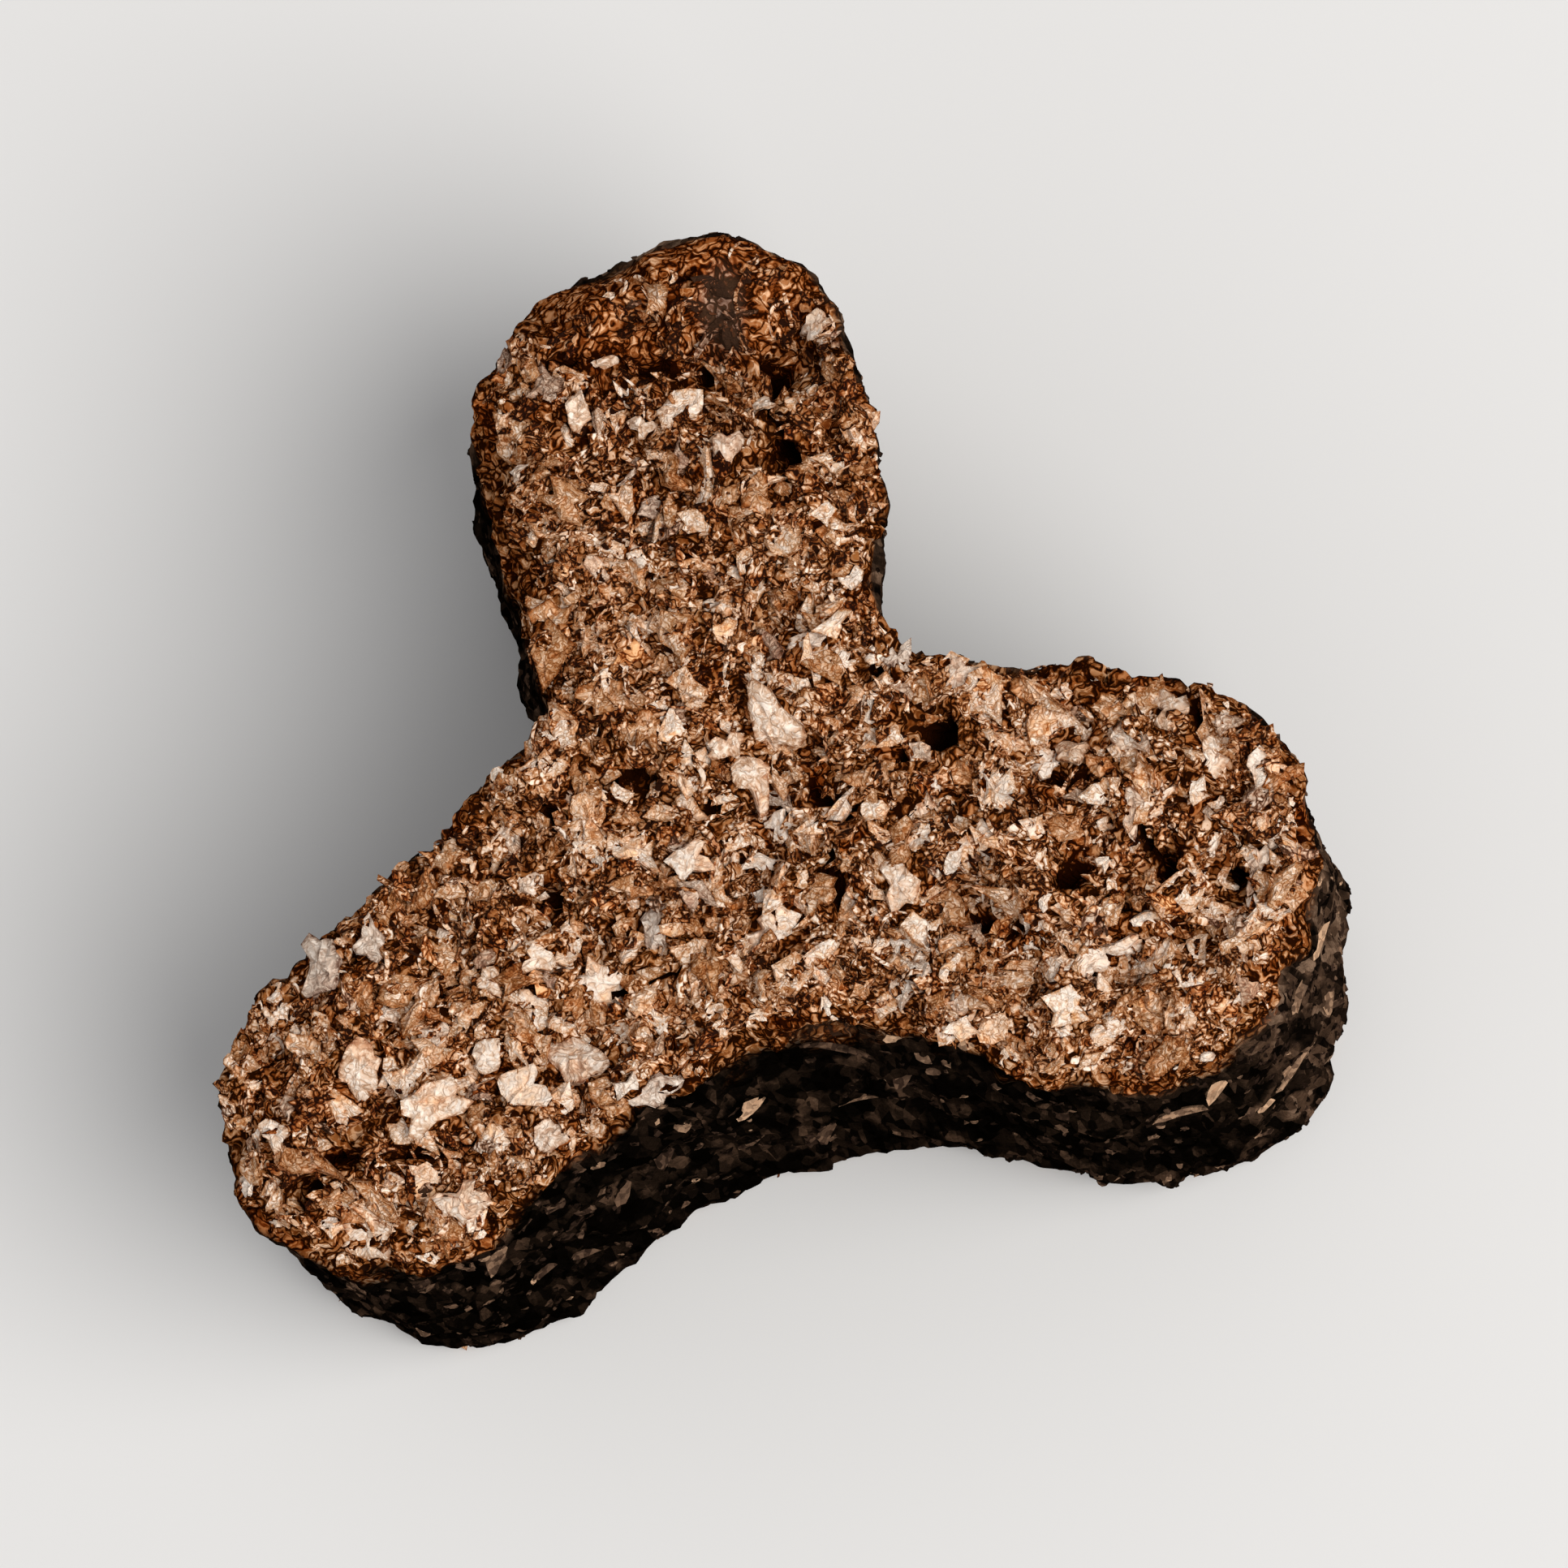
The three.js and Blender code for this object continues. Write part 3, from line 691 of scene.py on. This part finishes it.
# The bran flakes: irregular brown flakes of bran, a few tenths of a millimetre across, pressed together and
# torn through by the cut. They cover both cuts like scales that lie every way, with dark gaps between them.
BRAN_SEED, BRAN_COUNT, BRAN_SPACING = 21, 3600, 0.13
BRAN_SIZE, BRAN_STRETCH = (0.18, 0.46), 2.2
BRAN_DEPTH, BRAN_TILT = (-0.05, 0.03), 0.22
BRAN_PROFILE = [(0, 0.04), (0.6, 0.04), (1, 0), (0.9, -0.16), (0, -0.16)]
BRAN_DOME, BRAN_BEND = (-0.08, 0.1), (-0.6, 0.6)
BRAN_TONE, BRAN_TONE_SPREAD, BRAN_TONE_SHAPE = 0.32, 0.54, (1.3, 1.5)
BRAN_WIPED = 0.6  # share of the flakes that the smear has wiped away
BRAN_GREYED = 0.03  # share of the flakes that are greyed
GREYED = 0.4  # how greyed such a flake is

LOWER_SHARE = 0.75  # how densely the lower cut is strewn, against the upper
ON_HUSKS, IN_PORES = 0.03, 0.03  # share of the flakes that still lie on a large husk or in a pore
PORE_IS_DEEP = 0.2
FULL_SIZE = (0.5, 0.94)  # upright part of the skin's blurred direction over which flakes get as large as any
RIM_SHARE = 0.33  # of the full size, on a rim
RIM_SINK = 0.08  # how much deeper flakes sit on a rim
RIM_TILT = 0.1  # share of the tilt that is left on a rim
SECOND_LOBE = (1.5, 4.5)  # y over which the second lobe sets in
LIFT = 0.1  # how much paler the first and third lobes are than the second
FIRST_LOBE = (2.5, 5.0)  # x over which the first lobe sets in
FIRST_LIFT = 0.06  # and how much paler again it is
SMEAR_TONE = 0.17  # how much darker the smeared tip is
RUST_PLACE, RUST_REACH = (-5.9, -5.6, 9.0), 0.9  # rusty flakes gather at the third lobe's tip
RUST_ANYWHERE, RUST_GATHERED = 0.04, 0.45  # share of the flakes
LEAST_RUST, FULL_RUST = 0.1, (0.4, 1.0)

away = ramp(points[:, 1], *SECOND_LOBE)
paleness = LIFT * (1 - away) - SMEAR_TONE * (smear + smudge) + FIRST_LIFT * ramp(points[:, 0], *FIRST_LOBE)
open_crumb = (1 - np.clip(pore / PORE_IS_DEEP, 0, 1)) * (1 - kept_open)
crumb_area = cut**2 * np.where(is_upper, 1, LOWER_SHARE * room)
crumb_area *= (1 - (1 - ON_HUSKS) * covered) * (IN_PORES + (1 - IN_PORES) * open_crumb)
full_size = np.where(is_upper, ramp(smooth[:, 2], *FULL_SIZE), room)


def skin_spots(count, weight, spacing, draw):
    """Spots on the body's skin, the directions they face and the skin points around each, more of them where
    the weight is higher and no two of them closer together than the spacing."""
    chance = weight[faces].mean(1)
    picks = draw.choice(len(faces), 3 * count, p=chance / chance.sum())
    blend = draw.dirichlet(np.ones(4), len(picks))[..., None]
    spots = (points[faces[picks]] * blend).sum(1)
    tree = tree_of(spots)
    kept = np.zeros(len(spots), bool)
    for i, spot in enumerate(spots):
        kept[i] = not any(kept[j] for _, j, _ in tree.find_range(spot, spacing))
    keep = np.flatnonzero(kept)[:count]
    corners = faces[picks[keep]]
    return spots[keep], unit((facing[corners] * blend[keep]).sum(1)), corners


def rust_of(spots, draw):
    """How rusty each flake is: a few anywhere, and more of them at the tip of the third lobe."""
    near = np.exp(-0.5 * (np.linalg.norm(spots - RUST_PLACE, axis=1) / RUST_REACH) ** 2)
    is_rusty = draw.random(len(spots)) < RUST_ANYWHERE + RUST_GATHERED * near
    return np.where(is_rusty, draw.uniform(*FULL_RUST, len(spots)), LEAST_RUST)


def laid(count, weight, spacing, sink, tilt, draw):
    """Spots for flakes on the cuts, sunk and tilted at random, flatter and deeper near the rims. Returns the
    spots, their directions, the share of the full size that each may have, how much paler each is and how
    greyed by the smudge."""
    spots, up, corners = skin_spots(count, weight, spacing, draw)
    inner = full_size[corners].mean(1)
    depth = draw.uniform(*sink, len(spots)) - RIM_SINK * (1 - inner)
    lean = tilt * (RIM_TILT + (1 - RIM_TILT) * inner[:, None]) * draw.normal(size=up.shape)
    share = RIM_SHARE + (1 - RIM_SHARE) * inner
    lift, grey = paleness[corners].mean(1), GREYED * smudge[corners].mean(1)
    return spots + depth[:, None] * up, unit(up + lean), share, lift, grey


bran = flake_material("baked_bran", per_metre=5600.0, crumple=0.3, gap_shade=1.1, mottle=0.17)
draw = np.random.default_rng(BRAN_SEED)
bran_weight = crumb_area * (1 - BRAN_WIPED * smear)
spots, up, share, lift, grey = laid(BRAN_COUNT, bran_weight, BRAN_SPACING, BRAN_DEPTH, BRAN_TILT, draw)
shape = lumps(
    spots, up, share * draw.uniform(*BRAN_SIZE, len(spots)), BRAN_PROFILE, draw, corners=9,
    stretch=1 + share * draw.uniform(0, BRAN_STRETCH, len(spots)), torn=0.55 * share, crumple=0.07,
    dome=share * draw.uniform(*BRAN_DOME, len(spots)), bend=share * draw.uniform(*BRAN_BEND, len(spots)),
)
tone = BRAN_TONE + BRAN_TONE_SPREAD * draw.beta(*BRAN_TONE_SHAPE, len(spots)) + lift
dust = np.maximum(GREYED * (draw.random(len(spots)) < BRAN_GREYED), grey)
new_flakes("treat_bran_flakes", shape, tone, rust_of(spots, draw), dust, bran)

# The meal crumbs: nuggets of coarse brown meal, 0.1 to 0.2 mm across and up to four times as long as wide,
# baked in between the flakes of both cuts and half sunk in the dough.
MEAL_SEED, MEAL_COUNT, MEAL_SPACING = 25, 2400, 0.12
CRUMB_SIZE, CRUMB_STRETCH = (0.1, 0.22), (1.2, 4.0)
MEAL_DEPTH, MEAL_TILT = (0.0, 0.02), 0.4
MEAL_PROFILE = [(0, 0.1), (0.6, 0.08), (1, -0.02), (0.85, -0.26), (0, -0.28)]
MEAL_TONE, MEAL_TONE_SPREAD, MEAL_TONE_SHAPE = 0.28, 0.54, (1.4, 1.5)
MEAL_WIPED, MEAL_GREYED = 0.85, 0.02  # shares of the crumbs

draw = np.random.default_rng(MEAL_SEED)
meal_weight = crumb_area * (1 - MEAL_WIPED * smear)
spots, up, share, lift, grey = laid(MEAL_COUNT, meal_weight, MEAL_SPACING, MEAL_DEPTH, MEAL_TILT, draw)
shape = lumps(
    spots, up, share * draw.uniform(*CRUMB_SIZE, len(spots)), MEAL_PROFILE, draw, corners=7,
    stretch=draw.uniform(*CRUMB_STRETCH, len(spots)), torn=0.36 * share,
)
tone = MEAL_TONE + MEAL_TONE_SPREAD * draw.beta(*MEAL_TONE_SHAPE, len(spots)) + lift
dust = np.maximum(GREYED * (draw.random(len(spots)) < MEAL_GREYED), grey)
new_flakes("treat_meal_crumbs", shape, tone, rust_of(spots, draw), dust, bran)

# The husk chips: thin pale flakes of grain husk, 0.2 to 0.65 mm, cupped and crumpled by the baking. They lie
# on top of the crumb of both cuts with one edge under it.
HUSK_SEED, HUSK_COUNT, HUSK_SPACING = 31, 1500, 0.19
HUSK_SIZE, HUSK_SIZE_SPREAD, HUSK_SIZE_SHAPE = (0.2, 0.65), 0.24, (1.5, 0.5)
HUSK_STRETCH = 1.2
HUSK_DEPTH, HUSK_TILT = (0.0, 0.06), 0.16
HUSK_DOME, HUSK_BEND = (-0.1, 0.12), (-0.6, 0.6)
HUSK_TONE, HUSK_TONE_SPREAD, HUSK_TONE_SHAPE = 0.57, 0.58, (1.4, 1.8)
HUSK_WIPED, HUSK_FEWER = 0.97, 0.4  # how many fewer chips there are on the smear and on the second lobe
HUSK_GREYED, HUSK_DUST = 0.09, (0.3, 0.6)  # share of the chips, and how greyed such a chip is
HUSK_LIFT, HUSK_RUST = 0.5, 0.4  # against that of the bran
# the pale chips gather in patches, with brown meal between them
HUSK_EVEN, HUSK_PATCHES, HUSK_LEAST = 0.9, (0.4, 2.1), 0.3

husk = flake_material("pale_husk", per_metre=8200.0, crumple=0.13, gap_shade=0.5, mottle=0.12)
draw = np.random.default_rng(HUSK_SEED)
husk_weight = crumb_area * room * (1 - HUSK_WIPED * smear) * (1 - HUSK_FEWER * away)
husk_weight *= np.clip(HUSK_EVEN + waves(points, *HUSK_PATCHES, seed=7), HUSK_LEAST, None)
spots, up, share, lift, grey = laid(HUSK_COUNT, husk_weight, HUSK_SPACING, HUSK_DEPTH, HUSK_TILT, draw)
size = np.clip(HUSK_SIZE[0] + HUSK_SIZE_SPREAD * draw.gamma(*HUSK_SIZE_SHAPE, len(spots)), *HUSK_SIZE)
shape = lumps(
    spots, up, share * size, HUSK_PROFILE, draw, corners=9,
    stretch=1 + share * draw.uniform(0, HUSK_STRETCH, len(spots)), torn=0.6 * share, crumple=0.06,
    dome=share * draw.uniform(*HUSK_DOME, len(spots)), bend=share * draw.uniform(*HUSK_BEND, len(spots)),
)
tone = HUSK_TONE + HUSK_TONE_SPREAD * draw.beta(*HUSK_TONE_SHAPE, len(spots)) + HUSK_LIFT * lift
is_greyed = draw.random(len(spots)) < HUSK_GREYED
dust = np.maximum(is_greyed * draw.uniform(*HUSK_DUST, len(spots)), grey)
new_flakes("treat_husk_chips", shape, tone, HUSK_RUST * rust_of(spots, draw), dust, husk)

# The shreds: short pale fibres of bran and straw, less than a tenth of a millimetre wide, that the cut has
# frayed. They lie curled on both cuts.
SHRED_SEED, SHRED_COUNT, SHRED_SPACING = 35, 1000, 0.19
SHRED_LENGTH, SHRED_WIDTH = (0.25, 0.7), (0.035, 0.08)
SHRED_ABOVE = 0.03
SHRED_CURL, SHRED_ARCH = (-1.6, 1.6), (-0.1, 0.2)
SHRED_TAPER = 1.4
SHRED_STEPS = 5
SHRED_CORNERS = [(1, 0.5), (-1, 0.5), (-1, -0.5), (1, -0.5)]  # aside and up, as shares of half the width
SHRED_TONE, SHRED_TONE_SPREAD, SHRED_TONE_SHAPE = 0.5, 0.5, (2.0, 2.0)
SHRED_RIM_SHARE = 0.3  # of the full length, on a rim
SHRED_WIPED = 0.6
SHRED_DUST = 0.1


def shreds(spots, up, length, width, draw):
    """Closed curved strips at the spots, thinner towards their ends: points, four-cornered faces, how near
    an end each point is, up to a half, and the number of points of a strip."""
    count = len(spots)
    side = unit(np.cross(up, draw.normal(size=(count, 3))))
    along = np.cross(side, up)
    curl = draw.uniform(*SHRED_CURL, count)
    arch = draw.uniform(*SHRED_ARCH, count)
    rings, ends = [], []
    for share in np.linspace(-0.5, 0.5, SHRED_STEPS + 1):
        bow = (share * share - 0.25) * length
        middle = spots + along * (share * length)[:, None]
        middle += side * (curl * bow)[:, None] - up * (arch * bow)[:, None]
        half = width / 2 * (1 - SHRED_TAPER * share * share)
        for aside, rise in SHRED_CORNERS:
            rings.append(middle + side * (aside * half)[:, None] + up * (rise * half)[:, None])
            ends.append(abs(share))
    corners = len(SHRED_CORNERS)
    last = corners * SHRED_STEPS
    quads = [tuple(range(corners)), tuple(reversed(range(last, last + corners)))]
    for ring in range(SHRED_STEPS):
        for i in range(corners):
            j = (i + 1) % corners
            a, b = ring * corners, (ring + 1) * corners
            quads.append((a + i, b + i, b + j, a + j))
    return all_copies(np.stack(rings, 1), quads, ends)


draw = np.random.default_rng(SHRED_SEED)
shred_weight = crumb_area * room**2 * (1 - SHRED_WIPED * smear)
spots, up, corners = skin_spots(SHRED_COUNT, shred_weight, SHRED_SPACING, draw)
shorter = SHRED_RIM_SHARE + (1 - SHRED_RIM_SHARE) * full_size[corners].mean(1)
length = shorter * draw.uniform(*SHRED_LENGTH, len(spots))
width = draw.uniform(*SHRED_WIDTH, len(spots))
shape = shreds(spots + SHRED_ABOVE * up, up, length, width, draw)
tone = SHRED_TONE + SHRED_TONE_SPREAD * draw.beta(*SHRED_TONE_SHAPE, len(spots))
new_flakes("treat_shreds", shape, tone, rust_of(spots, draw), SHRED_DUST, bran)

# The wall flecks: slivers of bran that the die has pressed flush into the dark walls and drawn along them.
# They are dark brown like the skin, with a few paler ones, and lie thickest in patches.
FLECK_SEED, FLECK_COUNT, FLECK_SPACING = 41, 2300, 0.17
FLECK_SIZE, FLECK_SIZE_SPREAD, FLECK_SIZE_SHAPE = 0.1, 0.32, (1.1, 2.4)
FLECK_STRETCH = (1.2, 3.6)
FLECK_SINK = 0.002
FLECK_LEAN, FLECK_TILT = 0.35, 0.06  # upwards, and at random
FLECK_STRAY = 0.4  # how far their length strays from upright
FLECK_EVEN, FLECK_PATCHES, FLECK_LEAST = 0.5, (1.5, 1.4), 0.08
FLECK_ON_PALER_WALL = 0.5  # how many more there are on the walls that are brown or painted paler
FLECK_RIM = (0.12, 0.3)  # upright part of the skin's blurred direction over which they end
FLECK_PAST_RIM = 0.01  # share of them that still lies beyond
FLECK_TONE_SHAPE = (0.8, 2.6)
FLECK_PROFILE = [(0, 0.02), (0.6, 0.02), (1, 0), (0.9, -0.16), (0, -0.14)]
FLECK_TONES = [(0.1, 14, 9, 6), (0.35, 50, 36, 28), (0.65, 108, 83, 65), (1.0, 196, 158, 126)]
FLECK_GRAINS = 12000.0  # per metre
FLECK_BUMP, FLECK_BUMP_STRENGTH = 0.00002, 0.5
FLECK_MOTTLE = (-0.2, 0.2)
FLECK_FINISH = {"Roughness": 0.6, "Specular IOR Level": 0.0}
UPRIGHT = np.array([0, 0, 1])

fleck, n, fleck_shader = new_material("wall_fleck", FLECK_FINISH)
meal = n.use(meal_group, {"Place": n.place(), "Grains per metre": FLECK_GRAINS})
fleck_tone = n.math("ADD", n.attribute("tone"), n.spread(meal["Mottle"], *MOTTLE_RANGE, *FLECK_MOTTLE))
n.link(n.colours(fleck_tone, FLECK_TONES), fleck_shader["Base Color"])
n.bump(meal["Height"], FLECK_BUMP, fleck_shader, FLECK_BUMP_STRENGTH)

draw = np.random.default_rng(FLECK_SEED)
fleck_patches = FLECK_EVEN + waves(points, *FLECK_PATCHES, seed=8)
fleck_weight = (1 - cut) ** 2 * (1 + FLECK_PAST_RIM - ramp(np.abs(smooth[:, 2]), *FLECK_RIM))
fleck_weight *= np.clip(fleck_patches, FLECK_LEAST, None) + FLECK_ON_PALER_WALL * brown_and_painted_light_wall
spots, up, _ = skin_spots(FLECK_COUNT, fleck_weight, FLECK_SPACING, draw)
lean = draw.uniform(0, FLECK_LEAN, (len(spots), 1)) * UPRIGHT
up = unit(up + lean + FLECK_TILT * draw.normal(size=up.shape))
size = FLECK_SIZE + FLECK_SIZE_SPREAD * draw.beta(*FLECK_SIZE_SHAPE, len(spots))
fleck_points, fleck_faces, _, per_lump = lumps(
    spots - FLECK_SINK * up, up, size, FLECK_PROFILE, draw, corners=8,
    stretch=draw.uniform(*FLECK_STRETCH, len(spots)), torn=0.34, dome=0.02,
    grain=UPRIGHT + FLECK_STRAY * draw.normal(size=(len(spots), 3)),
)
tone = draw.beta(*FLECK_TONE_SHAPE, len(spots))
new_piece("treat_wall_flecks", fleck_points, fleck_faces, {"tone": np.repeat(tone, per_lump)}, fleck)

# The wall chips: single flakes and slivers of bran, 0.2 to 1.1 mm, that stick out of the walls, torn half
# loose where the strand left the die. Each is placed where this slice has it, seen along the line of sight.
# x and y on the plane of the upper cut, length, width, heading in degrees and tone
WALL_CHIPS = [
    (0.1, -4.7, 0.5, 0.36, 45, 0.9), (-0.85, -4.95, 0.3, 0.28, 90, 0.7),
    (-1.75, -6.0, 0.46, 0.3, 90, 0.5), (-2.25, -6.15, 0.32, 0.28, 0, 0.42),
    (-2.05, -5.5, 0.22, 0.15, 0, 0.65), (-3.5, -6.75, 0.6, 0.34, 100, 0.55),
    (-2.4, -6.95, 0.6, 0.13, 5, 0.45), (-2.9, -7.15, 0.42, 0.15, 30, 0.38),
    (-1.15, -5.45, 0.45, 0.34, 90, 0.36), (1.2, -5.2, 0.45, 0.3, 80, 0.45),
    (1.8, -4.65, 1.1, 0.13, -8, 0.6), (2.3, -4.35, 0.36, 0.26, 80, 0.5),
    (2.75, -4.2, 0.26, 0.2, 0, 0.5), (2.15, -3.72, 0.26, 0.18, 0, 0.85),
    (3.2, -3.82, 0.24, 0.18, 20, 0.85), (1.35, -3.85, 0.9, 0.13, -15, 0.38),
    (6.8, -4.4, 0.7, 0.24, 60, 0.95), (6.2, -4.83, 0.8, 0.13, 12, 0.65),
    (7.9, -4.25, 0.9, 0.24, 62, 0.72), (7.55, -4.82, 0.32, 0.14, 45, 0.95),
    (8.15, -2.45, 0.6, 0.16, 60, 0.95), (7.85, -3.25, 0.5, 0.15, 70, 0.65),
    (8.4, -3.3, 0.5, 0.2, 85, 0.7), (7.3, -4.85, 0.26, 0.24, 0, 0.5),
]
CHIP_SEED = 43
CHIP_PLANE = 9.1  # height of the plane that their x and y lie on
CHIP_ABOVE = 0.02
CHIP_TURN = 0.9  # how far a chip turns from the wall's direction towards the line of sight
TO_CAMERA = np.array([22.4, -12.9, 160.0])
SIGHT = unit(TO_CAMERA)

skin_tree = BVHTree.FromPolygons(points.tolist(), faces.tolist())
x, y, length, width, heading, tone = np.array(WALL_CHIPS).T
hits = [skin_tree.ray_cast(Vector((*xy, CHIP_PLANE)), Vector(-SIGHT))[:2] for xy in zip(x, y)]
spots, outward = (np.array(found) for found in zip(*hits))
draw = np.random.default_rng(CHIP_SEED)
chip_points, chip_faces, _, per_lump = lumps(
    spots + CHIP_ABOVE * outward, unit(outward + CHIP_TURN * SIGHT), np.sqrt(length * width), FLECK_PROFILE,
    draw, corners=11, stretch=length / width, torn=0.25, dome=0.04, bend=0.2, grain=heading_vectors(heading),
)
new_piece("treat_wall_chips", chip_points, chip_faces, {"tone": np.repeat(tone, per_lump)}, fleck)

# The studio: a pale floor that runs out of sight, a large soft light from the right and above, and an even
# fill from all round. Places, sizes and distances are in metres.
FLOOR_CORNERS = [(-2, -2, 0), (2, -2, 0), (2, 2, 0), (-2, 2, 0)]
FLOOR_FINISH = {"Base Color": srgb(218, 217, 216), "Roughness": 0.8}
WINDOW_PLACE, WINDOW_SIZE, WINDOW_WATTS, WINDOW_TINT = (0.21, -0.06, 0.32), 0.3, 1.42, (1.0, 0.985, 0.96)
FILL_COLOUR, FILL_STRENGTH = (0.99, 0.99, 1.0, 1), 0.5

floor_mesh = bpy.data.meshes.new("floor")
floor_mesh.from_pydata(FLOOR_CORNERS, [], [(0, 1, 2, 3)])
floor = bpy.data.objects.new("floor", floor_mesh)
bpy.context.collection.objects.link(floor)
floor_mesh.materials.append(new_material("pale_floor", FLOOR_FINISH)[0])

lamp = bpy.data.lights.new("window", "AREA")
lamp.shape = "DISK"
lamp.size = WINDOW_SIZE
lamp.energy = WINDOW_WATTS
lamp.color = WINDOW_TINT
window = bpy.data.objects.new("window", lamp)
window.location = WINDOW_PLACE
window.rotation_mode = "QUATERNION"
window.rotation_quaternion = (-Vector(WINDOW_PLACE)).to_track_quat("-Z", "Y")
bpy.context.collection.objects.link(window)

world = bpy.data.worlds.new("room")
world.use_nodes = True
fill = world.node_tree.nodes["Background"].inputs
fill["Color"].default_value = FILL_COLOUR
fill["Strength"].default_value = FILL_STRENGTH
bpy.context.scene.world = world
bpy.context.scene.view_settings.view_transform = "Standard"

# The camera looks almost straight down, from the photograph's distance and a little to the lower right. Its
# lens shows the frame's width at the distance of the aim.
CAMERA_OFFSET = Vector(TO_CAMERA) * MM
AIM = Vector((0.0, 0.2, 4.7)) * MM
FRAME_WIDTH = 22.5 * MM

camera_data = bpy.data.cameras.new("camera")
camera = bpy.data.objects.new("camera", camera_data)
bpy.context.collection.objects.link(camera)
camera.location = AIM + CAMERA_OFFSET
forward = -CAMERA_OFFSET.normalized()
right = forward.cross(Vector((0, 1, 0))).normalized()
up_axis = right.cross(forward)
camera.rotation_mode = "QUATERNION"
camera.rotation_quaternion = Matrix((right, up_axis, -forward)).transposed().to_quaternion()
camera_data.lens = camera_data.sensor_width * CAMERA_OFFSET.length / FRAME_WIDTH
camera_data.clip_start = 0.01
camera_data.clip_end = 10
bpy.context.scene.camera = camera
